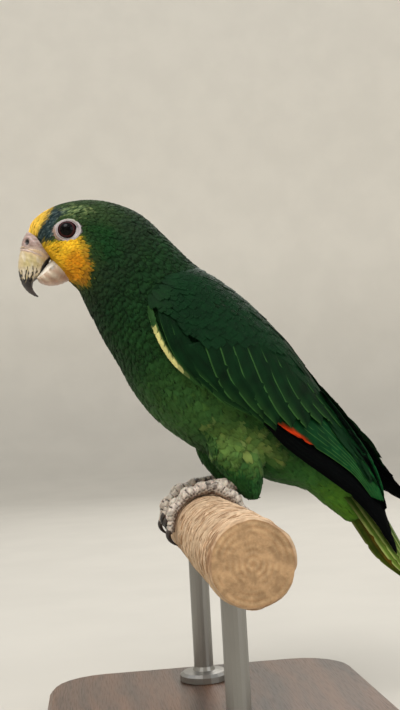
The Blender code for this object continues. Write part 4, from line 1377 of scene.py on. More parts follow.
def blade_piece(name, blades, tint, widths, length, material, replaced=()):
    """Flight feathers as one piece, with every blade turned outwards by itself."""
    count, size = len(blades.points), blades.points[0].size // 3
    no_tris = np.zeros((0, 3), int)
    quads = [
        outwards(blade, PLATE, no_tris)[0] + n * size
        for n, blade in enumerate(blades.points.reshape(count, size, 3))
    ]
    across = (np.tile(BLADE_COLUMNS, (BLADE_ROWS, 1)) - SHAFT) * np.reshape(widths, (-1, 1, 1))
    along = np.tile(BLADE_ALONG[:, None] * length, (count, 1, len(BLADE_COLUMNS)))
    vane = np.repeat(np.stack([across, along], -1)[:, None], 2, axis=1)
    maps = {"OFBake": np.clip(blade_maps(count), 0, 1).reshape(-1, 2), "Vane": vane.reshape(-1, 2)}
    tint = tint.reshape(-1, 3)
    mesh = make_mesh(name, blades.points, np.vstack(quads), tint=tint, maps=maps, lean=blades.lean)
    return make_piece(name, mesh, material, replaced)


def blade_maps(count):
    """Places on the bake map: big blades side by side, their top and under faces apart."""
    across = BLADE_COLUMNS[None, :] * 0.42 / count
    along = BLADE_ALONG[:, None] * 0.96 + 0.02
    uv = np.empty((count, 2, BLADE_ROWS, len(BLADE_COLUMNS), 2))
    for n in range(count):
        for face in range(2):
            uv[n, face, ..., 0] = (n + 0.03 + 0.5 * face) / count + across
            uv[n, face, ..., 1] = along
    return uv


def covert_tint(blades, seed):
    """Greater and hand coverts: deep green with a pale line on the exposed edge."""
    dice = np.random.default_rng(seed)
    along = BLADE_ALONG[None, None, :, None]
    share = blades.shares[:, None]
    tone = 1 + 0.16 * waves(blades.points, 9.0, 51)
    tone = tone + dice.normal(0, 0.07, (len(blades.points), 1, 1, 1))
    colour = COLOURS["covert"] * tone[..., None]
    outer = ease(share, 0.30, 0.08) * ease(along, 0.35, 0.95)
    colour = mix(colour, COLOURS["low_breast"], 0.22 * outer)
    edge = ease(share, 0.065, 0.03) * ease(along, 0.04, 0.25)
    colour = mix(colour, COLOURS["pale_edge"], 0.6 * edge)
    colour = mix(colour, colour * 0.45, 0.35 * bell(share, SHAFT, 0.03))
    return mix(colour, colour * 0.35, 0.45 * ease(share, 0.5, 1.0))


def secondary_tint(blades):
    """Secondaries: black inner vanes, green outer ones, brighter to the tip, with the red patch."""
    along = BLADE_ALONG[None, None, :, None]
    share = blades.shares[:, None]
    number = np.linspace(0, 1, len(blades.points))[:, None, None, None]
    tone = 1 + 0.12 * waves(blades.points, 7.0, 52)
    brighter = ease(along, 0.45, 0.95) * (0.45 + 0.55 * number)
    green = mix(COLOURS["secondary"], COLOURS["bright"], brighter)
    dulled = 0.8 * ease(number, 0.6, 1.0) * ease(along, 0.9, 0.5)
    colour = mix(green, COLOURS["lesser"], dulled) * tone[..., None]
    inner_vane = ease(share, 0.55, 0.85) * ease(number, 0.85, 0.45)
    colour = mix(colour, COLOURS["flight_black"], 0.85 * inner_vane)
    red = ease(within(blades.laid, SPECULUM), -0.7, 0.5)
    barbs = 0.75 + 0.25 * np.sin(along * 190 + share * 30)
    colour = mix(colour, COLOURS["speculum"] * barbs[..., None], red * (number < 0.7))
    edge = ease(share, 0.065, 0.03) * ease(along, 0.2, 0.45) * (1 - red)
    colour = mix(colour, COLOURS["pale_edge"], 0.6 * edge)
    shaft = bell(share, SHAFT, 0.02) * ease(along, 0.3, 0.6)
    colour = mix(colour, COLOURS["pale_edge"], 0.3 * shaft * number)
    colour[:, 1] = mix(colour[:, 1], COLOURS["flight_black"] * 1.5, 0.85)
    return colour


def primary_tint(blades):
    """Primaries: blue-black with a faint grey-green line on the outer edge near the root."""
    share = blades.shares[:, None]
    tone = 1 + 0.25 * waves(blades.points, 5.0, 53)
    edge = ease(share, 0.06, 0.03) * ease(BLADE_ALONG[:, None], 0.9, 0.3)
    colour = mix(COLOURS["flight_black"] * tone[..., None], COLOURS["flight_edge"], 0.4 * edge)
    return mix(colour, COLOURS["flight_edge"] * 0.8, 0.3 * bell(share, SHAFT, 0.02))


def bend_tint(blades):
    """Bend feathers: pale yellow, greener at both ends of the row and on their inner sides."""
    place = np.linspace(0, 1, len(blades.points))[:, None, None, None]
    share = blades.shares[:, None]
    tone = 1 + 0.1 * waves(blades.points, 3.0, 54)
    green = mix(COLOURS["pale_edge"], COLOURS["covert"], 0.6)
    greener = ease(place, 0.6, 0.85) + ease(place, 0.16, 0.0) + ease(share, 0.6, 1.0)
    return mix(COLOURS["bend"], green, np.clip(greener, 0, 1)) * tone[..., None]


def widths_of(edges):
    """The whole widths from a list of (edge, width)."""
    return [width for _, width in edges]


def make_greater_coverts(side_name, side, material):
    """The row of broad coverts over the secondaries."""
    depths = [(-0.55 + 0.03 * n, 0.15 + 0.05 * n) for n in range(len(GREATER_COVERTS))]
    blades = laid_blades(GREATER_COVERTS, WING_GUIDE, depths, 0.7, 2.2, 61, side, 1.25)
    widths, tint = widths_of(GREATER_COVERTS), covert_tint(blades, 62)
    blade_piece("greater_coverts_" + side_name, blades, tint, widths, 60.0, material)


def make_hand_coverts(side_name, side, material):
    """The narrow coverts between the bend and the primaries."""
    depths = [(-0.9, 0.55 - 0.06 * n) for n in range(len(HAND_COVERTS))]
    blades = laid_blades(HAND_COVERTS, WING_GUIDE, depths, 0.4, 2.0, 63, side, 1.2)
    widths, tint = widths_of(HAND_COVERTS), covert_tint(blades, 64)
    blade_piece("hand_coverts_" + side_name, blades, tint, widths, 50.0, material)


def secondary_edges():
    """Exposed edges of the secondaries, fanned between the lowest one and the back's edge."""
    low, high = np.array(SECONDARY_LOW), np.array(SECONDARY_HIGH)
    shares = np.linspace(0.0, 1.0, SECONDARY_COUNT) ** 0.9
    return [(low + (high - low) * share, 10.0 - 5.6 * share) for share in shares]


def make_secondaries(side_name, side, material):
    """The secondaries, which stand for the wing's solid."""
    edges = secondary_edges()
    depths = [(-2.6 + 0.06 * n, -0.75 + 0.13 * n) for n in range(len(edges))]
    blades = laid_blades(edges, WING_GUIDE, depths, 0.5, 1.8, 65, side, 1.2)
    widths, tint = widths_of(edges), secondary_tint(blades)
    name, solid = "secondaries_" + side_name, "wing_" + side_name
    blade_piece(name, blades, tint, widths, 105.0, material, [solid])


def primary_edges():
    """Exposed edges of the primaries: like the longest one, each inner one higher and shorter."""
    count = 60
    line = resampled(PRIMARY_EDGE, count)
    edges = []
    for n in range(PRIMARY_COUNT):
        shown = int(count * (1.0 - 0.035 * n))
        step = PRIMARY_STEP * n * (1 - 0.5 * ease(np.arange(count) / (count - 1), 0.6, 1.0))
        moved = line + inner_side(line) * step[:, None]
        edges.append((np.vstack([moved[:shown:6], moved[shown - 1]]), 9.0))
    return edges


def make_primaries(side_name, side, material):
    """The folded primaries below and behind the secondaries."""
    edges = primary_edges()
    depths = [(-1.2 + 0.1 * n, -0.6 + 0.16 * n) for n in range(len(edges))]
    blades = laid_blades(edges, PRIMARY_GUIDE, depths, 0.3, 1.5, 67, side)
    widths, tint = widths_of(edges), primary_tint(blades)
    name, solid = "primary_feathers_" + side_name, "primaries_" + side_name
    blade_piece(name, blades, tint, widths, 125.0, material, [solid])


def bend_edges():
    """Short edges that overlap one another along the bend of the wing."""
    line = resampled(BEND_EDGE, BEND_FEATHERS + BEND_OVERLAP)
    edges = []
    for start, end in zip(line, line[BEND_OVERLAP:]):
        middle = (start + end) / 2 + (-0.5, -0.4)
        edges.append(([start, middle, end], 2.8))
    return edges


def make_bend(side_name, side, material):
    """The pale yellow feathers at the bend of the wing."""
    edges = bend_edges()
    depths = [(-0.6, 0.5)] * len(edges)
    blades = laid_blades(edges, WING_GUIDE, depths, 0.3, 2.0, 68, side, 1.1)
    widths, tint = [3.6] * len(edges), bend_tint(blades)
    blade_piece("bend_feathers_" + side_name, blades, tint, widths, 24.0, material)


WING_BEND = (-22.0, 138.0)


def bend_distance(points):
    """Distance from the bend of the wing in the side view, in mm."""
    return np.hypot(points[:, 0] - WING_BEND[0], points[:, 2] - WING_BEND[1])


def make_lesser_coverts(side_name, side, material):
    """Small coverts and scapulars, growing longer towards the tail."""
    lie = unit(np.gradient(WING_GRID, axis=0)).reshape(-1, 3)
    spacing = 2.5 + 2.3 * ease(bend_distance(WING_GUIDE.points), 10.0, 90.0)
    roots = scattered(WING_GUIDE, spacing, 71 + side, lambda p: within(p, LESSER) > 0)
    near = np.array([WING_GUIDE.finder.find(root)[1] for root in roots])
    dice = np.random.default_rng(73 + side)
    way = unit(lie[near] + (0.0, 0.0, -0.22))
    way = unit(way + dice.normal(0, 0.05, way.shape))
    size = ease(bend_distance(roots), 6.0, 90.0)
    length = (9.0 + 17.0 * size) * dice.uniform(0.9, 1.1, len(roots))
    half = (2.3 + 3.2 * size) * dice.uniform(0.92, 1.08, len(roots))
    upper_edge = WING_GRID[near // WING_GRID.shape[1], -1]
    half = np.minimum(half, 3.2 + 0.6 * np.linalg.norm(roots - upper_edge, axis=1))
    places, normals = combed(WING_GUIDE, roots, way, length)
    depth, lift = np.full(len(roots), 0.8), dice.uniform(0.12, 0.3, len(roots))
    vanes = feather_coat(places, normals, half, COVERT_VANE, dice, depth, lift, 0.35, 2.6)
    points, along, across, lean = vanes
    moved = to_side(points, side)
    vanes = moved, along, across, to_side(points + lean, side) - moved
    base = mix(COLOURS["lesser"], COLOURS["scapular"], ease(roots[:, 1], 22.0, 8.0))
    front = ease(roots[:, 0], -14.0, -24.0) * ease(roots[:, 2], 122.0, 132.0)
    base = mix(base, COLOURS["neck"], 0.5 * front)
    # Each covert's random tone, darker towards its root as painted shade under the coverts that overlap it
    tone = dice.normal(1.0, 0.05, (len(roots), 1)) * (0.9 + 0.12 * ease(along, 0.15, 0.8))
    tint = base[:, None, :] * tone[..., None]
    tint = mix(tint, tint * 0.6, 0.4 * bell(across, 0.0, 0.1))
    uv = spread_uv(roots[:, [0, 2]])
    name = "lesser_coverts_" + side_name
    feather_piece(name, COVERT_VANE, vanes, tint, uv, half, length, material, soft=0.85)


def make_wings():
    """Both folded wings, every row of feathers a piece of its own."""
    green = feather_finish("wing_green", 0.2, 0.5, 0.0)
    black = feather_finish("flight_black", 0.2, 0.5, 0.0, 0.03)
    for side_name, side in SIDES.items():
        make_primaries(side_name, side, black)
        make_secondaries(side_name, side, green)
        make_greater_coverts(side_name, side, green)
        make_hand_coverts(side_name, side, green)
        make_bend(side_name, side, green)
        make_lesser_coverts(side_name, side, green)


# ---------------------------------------------------------------- tail

TAIL_FEATHERS = 12
TAIL_MIDDLE = (TAIL_FEATHERS - 1) / 2


def tail_surface(across, along):
    """A point on the tail's roof: across -1 to 1 over it, along 0 to 1 from root to tip."""
    rows = smooth_rows(TAIL, 10)
    at = np.clip(along, 0, 1) * (len(rows) - 1)
    row = np.stack([np.interp(at, np.arange(len(rows)), rows[:, i]) for i in range(5)], -1)
    drop = np.abs(across) ** 1.7
    x = row[..., 0] + (row[..., 2] - row[..., 0]) * drop
    z = row[..., 1] + (row[..., 3] - row[..., 1]) * drop
    return np.stack([x, row[..., 4] * np.sin(across * math.pi / 2), z], -1)


def tail_blade(number, dice):
    """One rectrix: the middle pair lies on top, the outer ones lower down the roof's sides."""
    from_middle = number - TAIL_MIDDLE
    outward = math.copysign(1.0, from_middle)
    rank = abs(from_middle)
    share = frayed_shares(dice)
    along = np.tile(BLADE_ALONG[:, None] * (1.0 - 0.012 * rank), (1, share.shape[1]))
    middle = outward * (rank / TAIL_MIDDLE) * (0.55 + 0.22 * along)
    half = 0.26 * blade_profile(BLADE_ALONG, 2.6)[:, None] * (1 - 0.25 * along)
    across = np.clip(middle + outward * (0.5 - share) * 2 * half, -0.995, 0.995)
    top = tail_surface(across, along)
    ahead = tail_surface(across, along + 0.01) - tail_surface(across, along - 0.01)
    beside = tail_surface(np.clip(across + 0.01, -1, 1), along) - tail_surface(across - 0.01, along)
    normal = unit(np.cross(ahead, beside))
    normal[(normal @ (0.7, 0.0, 0.6)) < 0] *= -1
    height = -0.12 - 0.34 * rank - 0.5 * (share - 0.5)
    shaft = bell(share, SHAFT, 0.022)
    thick = 0.18 + 0.2 * shaft
    barbs = 0.03 * np.sin(along * 230 + share * 14)
    upper = top + normal * (height + 0.12 * shaft + barbs)[..., None]
    lower = top + normal * (height - 2 * thick)[..., None]
    return np.stack([np.stack([upper, lower]), np.stack([normal, -normal])]), share, along


def tail_tint(points, share, along, rank):
    """Rectrices: green, yellow-green towards the tip, the outer ones washed with orange."""
    colour = mix(COLOURS["tail"], COLOURS["tail_light"], ease(along, 0.35, 0.95) * 0.75)
    side_wash = ease(rank, 1.0, 3.5)
    colour = mix(colour, COLOURS["tail_light"], 0.45 * side_wash * ease(along, 0.05, 0.4))
    wash = (bell(along, 0.42, 0.17) + 0.7 * bell(along, 0.72, 0.08)) * ease(share, 0.2, 0.6)
    colour = mix(colour, COLOURS["tail_orange"], np.clip(0.7 * side_wash * wash, 0, 1))
    streak = ease(waves(points, 4.0, 55), 0.2, 1.0)
    colour = mix(colour, COLOURS["tail_dark"], 0.35 * streak)
    edge = ease(share, 0.10, 0.04) * ease(along, 0.1, 0.3)
    colour = mix(colour, COLOURS["straw"], 0.55 * edge)
    return mix(colour, COLOURS["tail_dark"], 0.6 * bell(share, SHAFT, 0.03))


def make_tail():
    """The tail's feathers as one piece."""
    dice = np.random.default_rng(81)
    placed, shares, tints = [], [], []
    for number in range(TAIL_FEATHERS):
        blade, share, along = tail_blade(number, dice)
        placed.append(blade)
        shares.append(share)
        tints.append(tail_tint(blade[0], share, along, abs(number - TAIL_MIDDLE)))
    points, lean = np.array(placed).swapaxes(0, 1)
    blades = Blades(points, lean, np.array(shares), points[:, :1])
    material = feather_finish("tail_green", 0.22, 0.45, 0.06)
    widths, tint = [12.0] * TAIL_FEATHERS, np.array(tints)
    blade_piece("tail_feathers", blades, tint, widths, 88.0, material, ["tail"])


# ---------------------------------------------------------------- head details


def grid_piece(name, grid, tint, material, replaced=(), closed_rows=False):
    """A closed piece from rings of points: capped at its ends, or joined into a ring of rings."""
    rows, columns = grid.shape[:2]
    quads, tris = tube_faces(rows, columns)
    if closed_rows:
        quads = sheet_faces(rows + 1, columns, closed=True) % (rows * columns)
        tris = np.zeros((0, 3), int)
    quads, tris = outwards(grid, quads, tris)
    tint = np.broadcast_to(tint, grid.shape).reshape(-1, 3)
    return make_piece(name, make_mesh(name, grid, quads, tris, tint), material, replaced)


def make_eyes(material):
    """Eyeballs with a bulging clear front, a wide pupil and a dark red-brown iris."""
    polar = np.concatenate([np.linspace(0.02, 1.25, 40), np.linspace(1.32, 3.1, 20)])[:, None]
    turn = circle(72)
    radius = EYE_RADIUS + 0.35 * bell(polar, 0.0, 0.75) - 0.1
    threads = 0.25 * np.sin(turn * 31 + 3 * np.sin(turn * 5))
    iris = mix(COLOURS["iris"], COLOURS["iris_rim"], ease(polar + 0.08 * threads, 0.72, 0.92))
    tint = mix(COLOURS["pupil"], iris * (1 + threads)[:, None], ease(polar, 0.62, 0.68))
    tint = mix(tint, COLOURS["eyeball"], ease(polar, 0.94, 1.04))
    for side_name, side in SIDES.items():
        ahead = unit(np.array([-0.10, side * 1.0, 0.04]))
        across = unit(np.cross(ahead, (0.0, 0.0, 1.0)))
        up = np.cross(across, ahead)
        ring = across * np.cos(turn)[:, None] + up * np.sin(turn)[:, None]
        grid = ahead * (radius * np.cos(polar))[..., None] + ring * (radius * np.sin(polar))[..., None]
        grid = grid + np.array(EYE_CENTRE) * (1, side, 1)
        grid_piece("eyeball_" + side_name, grid, tint, material, ["eye_" + side_name])


LID_OPENING = 5.35
LID_TURNS = 120
LID_STEPS = 26


def lid_places():
    """The bare ring in the side view, and how far out the lids' rim and the head lie there."""
    turn = circle(LID_TURNS)
    share = np.linspace(0, 1, LID_STEPS)[:, None, None]
    round_eye = np.stack([np.cos(turn), np.sin(turn) * 0.9], 1)
    round_orbit = np.stack([np.cos(turn), np.sin(turn)], 1) * (ORBIT["half_width"], ORBIT["half_height"])
    inner = np.array([EYE_CENTRE[0], EYE_CENTRE[2]]) + LID_OPENING * round_eye
    outer = np.array(ORBIT["centre"]) + 1.1 * round_orbit
    flat = inner + (outer - inner) * share
    eye_y = EYE_CENTRE[1] + math.sqrt(EYE_RADIUS**2 - LID_OPENING**2) + 0.15
    head_y = [GUIDE.dropped(x, z)[0][1] for x, z in flat.reshape(-1, 2)]
    return flat, eye_y, np.reshape(head_y, (LID_STEPS, LID_TURNS))


def make_lids(material):
    """The bare, finely wrinkled ring round each eye, with the rims of the lids against the eyeball."""
    flat, eye_y, head_y = lid_places()
    turn = circle(LID_TURNS)
    s = np.linspace(0, 1, LID_STEPS)[:, None]
    y = eye_y + (head_y - 0.35 - eye_y) * ease(s, 0.05, 0.8)
    y = y - 1.2 * ease(s, 0.05, 0.0)
    y = y + 0.62 * bell(s, 0.11, 0.075) + 0.26 * bell(s, 0.52, 0.12)
    y = y - 0.20 * bell(s, 0.27, 0.06) - 0.9 * ease(s, 0.86, 1.0)
    wrinkle = np.sin(s * 46 + 1.3 * np.sin(turn * 3) + 0.6 * np.sin(turn * 11))
    crow = np.sin(turn * 37 + 2.0 * np.sin(turn * 4) + s * 5)
    y = y + (0.05 * wrinkle + 0.05 * crow * ease(s, 0.2, 0.4)) * ease(s, 0.1, 0.3)
    y = y + 0.08 * np.sin(turn * 44) * bell(s, 0.11, 0.05)
    tint = mix(COLOURS["ring"], COLOURS["ring_lilac"], 0.5 + 0.5 * wrinkle * ease(s, 0.1, 0.3))
    front_low = ease(np.cos(turn - math.radians(205)), 0.55, 0.95) * ease(s, 0.3, 0.6)
    tint = mix(tint, COLOURS["ring_tan"], 0.8 * front_low)
    above = ease(np.sin(turn), 0.35, 0.95) * ease(s + 0.15 * crow, 0.35, 0.75)
    tint = mix(tint, COLOURS["flecks"] * 0.7, 0.75 * above)
    tint = mix(tint, COLOURS["lid_rim"], ease(s, 0.07, 0.02))
    # Painted shade in the lid's fold, where the surface dips at the same place
    tint = mix(tint, COLOURS["lid_fold_shade"], 0.75 * bell(s, 0.27, 0.05))
    # The loop's inner half, under the head's surface, takes the same colours darkened to 0.8 as painted
    # shade
    tint = np.concatenate([tint, tint[::-1] * 0.8])
    top = np.stack([flat[..., 0], y, flat[..., 1]], -1)
    loop = np.concatenate([top, top[::-1] - (0, 1.0, 0)])
    for side_name, side in SIDES.items():
        grid_piece("lids_" + side_name, loop * (1, side, 1), tint, material, closed_rows=True)


NOSTRIL = (-94.2, 169.9)
HORN_LINE = np.array(
    [(-99.5, 166.2), (-93.0, 166.2), (-90.0, 165.8), (-87.1, 165.0), (-84.3, 163.3), (-81.5, 161.2)]
)
# The upper bill's black cutting edge, widened by painted shadow of the gap between the bills and at the gape
CUTTING_BAND_AND_GAP_SHADOW = [
    (-81.5, 161.9), (-84.6, 159.0), (-86.5, 156.1), (-87.8, 152.6), (-89.0, 150.3), (-92.0, 148.0),
    (-90.0, 146.0), (-84.0, 150.0), (-82.0, 155.0), (-79.6, 161.0),
]


def above_horn(grid):
    """How far above the line where the cere meets the horn, in mm."""
    return grid[..., 2] - np.interp(grid[..., 0], HORN_LINE[:, 0], HORN_LINE[:, 1])


def cutting_edge_and_gap_shadow(tint, grid, low, high):
    """The tint with the black band along the bill's cutting edge: the edge's own black horn, with painted
    shadow of the gap between the bills.
    """
    return mix(tint, COLOURS["black_edge_and_gap_shadow"], ease(within(grid, CUTTING_BAND_AND_GAP_SHADOW), low, high))


def make_cere(material):
    """The bare, slightly swollen cere over the bill's root, with an open nostril on each side."""
    stations = {"back": (-91.0, 177.2, -80.6, 161.8, 9.6, 0.0)}
    stations.update(CERE)
    stations["lip"] = (-98.9, 166.4, -82.8, 159.7, 8.9, 0.0)
    stations["tuck"] = (-98.4, 165.4, -83.0, 159.6, 8.1, 0.0)
    grid = section_grid(stations, 12, 120, 2.0)
    normal = surface_normals(grid)
    rows = np.linspace(0, 1, len(grid))[:, None]
    swell = 0.55 * ease(above_horn(grid), 0.0, 2.0) * ease(rows, 0.0, 0.2)
    wrinkle = 0.07 * waves(grid, 1.6, 91)
    out = np.hypot((grid[..., 0] - NOSTRIL[0]) / 1.2, (grid[..., 2] - NOSTRIL[1]) / 1.8)
    hole = -1.5 * bell(out, 0.0, 0.8) + 0.35 * bell(out, 1.7, 0.5)
    grid = grid + normal * (swell + wrinkle + hole)[..., None]
    folded = 0.5 + 0.5 * np.clip(wrinkle * 12, -1, 1)
    tint = mix(COLOURS["cere"], COLOURS["cere_dark"], folded)
    tint = mix(tint, COLOURS["cere_pale"], 0.7 * ease(above_horn(grid), 1.8, 0.2))
    # Painted shade: the nostril's dent nearly black
    tint = mix(tint, COLOURS["nostril"], ease(out, 1.2, 0.8))
    # Where the band reaches the cere at the gape: the black edge with painted shadow of the gape
    tint = cutting_edge_and_gap_shadow(tint, grid, -0.4, 0.2)
    grid_piece("cere_skin", grid, tint, material, ["cere"])


def upper_bill_relief(plain, along, around):
    """How far the upper bill's horn stands out from its plain loft, in mm."""
    growth = 0.05 * np.sin(along * 90 + 2 * around) + 0.08 * waves(plain, 2.4, 92)
    keel = 0.30 * ease(around, 0.85, 1.0) * np.sin(math.pi * along)
    groove = -0.16 * bell(around, -0.35, 0.07) * ease(along, 0.1, 0.25) * ease(along, 0.8, 0.6)
    tooth = 0.30 * np.sin(along * 30) * ease(around, -0.85, -0.97) * ease(along, 0.7, 0.5)
    emerging = -1.0 + 1.15 * ease(above_horn(plain), 0.9, -0.9)
    from_nostril = np.hypot(plain[..., 0] - NOSTRIL[0], plain[..., 2] - NOSTRIL[1])
    emerging = emerging - 1.6 * bell(from_nostril, 0.0, 2.2) * ease(above_horn(plain), 0.5, 1.5)
    return (growth + keel + groove + tooth) * ease(along, 1.0, 0.9) + emerging * ease(along, 0.5, 0.1)


def make_upper_bill(material):
    """The hooked upper bill: pale horn, black flames over its lower third with painted highlights in them, a
    black cutting edge with painted shadow of the gap beside it.
    """
    sides = 144
    stations = {"crest": CERE["middle"], "join": CERE["front"]}
    stations.update(UPPER_BILL)
    plain = section_grid(stations, 16, sides, 2.0)
    hidden = 2.0 / (len(UPPER_BILL) - 1)
    along = np.clip(np.linspace(-hidden, 1, len(plain)), 0, 1)[:, None]
    around = np.cos(circle(sides))
    relief = upper_bill_relief(plain, along, around)
    grid = plain + surface_normals(plain) * relief[..., None]
    height = grid[..., 2]
    yellowed = bell(along, 0.22, 0.14) * ease(np.abs(around), 0.9, 0.3)
    tint = mix(COLOURS["horn"], COLOURS["horn_straw"], 0.55 * yellowed)
    chalky = ease(waves(plain * (1, 1, 0.35), 2.6, 93), 0.1, 0.9)
    tint = mix(tint, COLOURS["horn_chalk"], 0.55 * chalky)
    tint = mix(tint, COLOURS["horn_pink"], 0.5 * ease(along, 0.10, 0.0))
    streaks = waves(plain * (1, 1, 0.25), 1.7, 94)
    flames = height - 151.5 - 3.2 * np.sin(grid[..., 0] * 2.1 + 0.9 * grid[..., 1]) - 2.2 * streaks
    between = ease(height, 157.0, 152.5) * ease(flames, 0.2, 1.2)
    tint = mix(tint, COLOURS["horn_chalk"], 0.9 * between)
    # lit: painted highlights, patches in the upper black flames where pale horn shows through
    lit = ease(waves(plain * (1, 1, 0.5), 1.9, 95), 0.2, 0.6) * ease(height, 146.0, 149.0)
    black = mix(COLOURS["flame"], COLOURS["flame_worn"], ease(height, 148.0, 141.0))
    tint = mix(tint, black, ease(flames, 0.35, -0.35) * (1 - 0.9 * lit))
    tint = cutting_edge_and_gap_shadow(tint, grid, -0.35, 0.25)
    grid_piece("bill_upper_horn", grid, tint, material, ["bill_upper"])


def make_lower_bill(material):
    """The scooped lower bill: a pale cutting edge, banded pinkish horn and a grey-olive spot."""
    sides = 128
    plain = section_grid(LOWER_BILL, 16, sides, 2.0)
    along = np.linspace(0, 1, len(plain))[:, None]
    around = np.cos(circle(sides))
    growth = 0.06 * np.sin(along * 60) + 0.07 * waves(plain, 2.2, 96)
    rim = 0.35 * ease(around, -0.62, -0.86)
    relief = (growth + rim) * ease(along, 1.0, 0.93)
    grid = plain + surface_normals(plain) * relief[..., None]
    bands = 0.5 + 0.5 * np.sin(along * 26 + 2.0 * around)
    tint = mix(COLOURS["mandible"], COLOURS["mandible_pale"], bands)
    tint = mix(tint, COLOURS["mandible_pink"], 0.55 * ease(around, 0.2, 0.9))
    from_spot = np.hypot((grid[..., 0] + 81.2) / 2.4, (grid[..., 2] - 155.2) / 2.4)
    tint = mix(tint, COLOURS["mandible_spot"], 0.75 * ease(from_spot, 1.2, 0.5))
    pale_rim = np.maximum(ease(around, -0.42, -0.62), 0.8 * ease(along, 0.07, 0.02))
    tint = mix(tint, COLOURS["mandible_rim"], pale_rim)
    grid_piece("bill_lower_horn", grid, tint, material, ["bill_lower"])


def make_head():
    """Eyes, bare rings, cere and bill."""
    make_eyes(eye_finish())
    make_lids(bare_skin_finish("bare_ring", 2600.0, 0.3, 0.5))
    make_cere(bare_skin_finish("cere", 1900.0, 0.35, 0.45))
    make_upper_bill(horn_finish("bill_horn", 0.34))
    make_lower_bill(horn_finish("lower_bill_horn", 0.38))


# ---------------------------------------------------------------- feet


def tube_grid(points, radii, sides):
    """Rings round a path in the x-z plane or near it, square to the path."""
    points = np.array(points, float)
    along = unit(np.gradient(points, axis=0))
    across = unit(np.array([0.0, 1.0, 0.0]) - along * along[:, 1:2])
    third = np.cross(along, across)
    angle = circle(sides)
    ring = across[:, None] * np.cos(angle)[None, :, None] + third[:, None] * np.sin(angle)[None, :, None]
    return points[:, None] + np.asarray(radii)[:, None, None] * ring


def round_perch(reach, angle, y):
    """Places at this distance from the perch's middle line, this angle round it and this far along."""
    x, y = np.broadcast_arrays(reach * np.cos(angle), y)
    return np.stack([x, y, reach * np.sin(angle)], -1)


def toe_line(toe, side, steps):
    """The middle line of a toe round the perch, with its radius swelling at each joint."""
    start, end, y_start, y_end = TOES[toe]
    t = np.linspace(0, 1, steps)
    angle = np.radians(start + (end - start) * t)
    radius = TOE_RADIUS * (1.0 - 0.26 * t) + 0.45 * np.cos(6 * math.pi * t)
    radius = radius * (1 - 0.28 * ease(t, 0.86, 1.0))
    reach = PERCH_RADIUS + GAP + radius + 0.2
    y = side * (FOOT_Y + y_start + (y_end - y_start) * t)
    return round_perch(reach, angle, y), radius


# Place (x, z), radius, share of the thigh's shift
LEG = {
    "shin": (24.6, 22.0, 3.4, 1.0),
    "ankle": (18.0, 24.0, 3.7, 0.5),
    "tarsus": (10.0, 23.6, 4.0, 0.0),
    "instep": (2.0, 22.8, 3.9, 0.0),
    "sole": (-5.0, 22.2, 2.8, 0.0),
}
SCUTE_PITCH = 2.9


def leg_line(side):
    """The middle line of a leg from under its feathers down to the toes, with its radius."""
    rows = smooth_rows(LEG, 8)
    x = rows[:, 0] + THIGH_SHIFT[side] * rows[:, 3]
    return np.stack([x, np.full(len(rows), side * FOOT_Y), rows[:, 1]], 1), rows[:, 2]


def reach_along(points, lines):
    """How far along its own toe or leg each point of a foot lies, in mm."""
    best = np.full(len(points), np.inf)
    reach = np.zeros(len(points))
    for line, radius in lines:
        gap = np.linalg.norm(points[:, None] - line[None], axis=-1) - radius
        reach = np.where(gap.min(1) < best, distances_along(line)[gap.argmin(1)], reach)
        best = np.minimum(gap.min(1), best)
    return reach


def make_foot(side_name, side, material):
    """A zygodactyl foot: scutes in rings over each toe, grains at its sides, pads beneath."""
    lines = [toe_line(toe, side, 60) for toe in TOES] + [leg_line(side)]
    points, quads = fused([tube_grid(p, r, 32) for p, r in lines], voxel=0.46, smoothing=3)
    normals, quads = facing_out(points, quads)
    dorsal = (normals * unit(points * (1, 0, 1))).sum(1)
    bent = reach_along(points, lines) + 0.3 * waves(points, 5.0, 101)
    plate = 1 - (np.abs((bent / SCUTE_PITCH) % 1.0 - 0.5) * 2) ** 5
    grains = waves(points, 1.3, 102)
    top = ease(dorsal, -0.15, 0.25)
    pads = ease(dorsal, -0.35, -0.75)
    height = top * (0.6 * plate - 0.42 + 0.05 * grains) + (1 - top) * 0.14 * grains
    points = points + normals * height[:, None]
    wear = ease(waves(points, 2.6, 104), -0.9, 0.7)
    scutes = top * ease(plate, 0.15, 0.85) * (0.6 + 0.4 * wear)
    # lit: the scutes' and grains' own pale colour with painted highlight on them, and painted shade in the
    # grooves between them
    lit = scutes + (1 - top) * 0.75 * ease(grains, -0.5, 0.6)
    tint = mix(COLOURS["scale_groove_shade"], COLOURS["scale"], np.clip(lit, 0, 1))
    tint = mix(tint, COLOURS["foot_pad"], 0.7 * pads)
    tint = mix(tint, COLOURS["foot_dust"], 0.25 * ease(waves(points, 8.0, 103), 0.0, 0.8))
    mesh = make_mesh("toes_" + side_name, points, quads, tint=tint)
    make_piece("toes_" + side_name, mesh, material, ["foot_" + side_name])


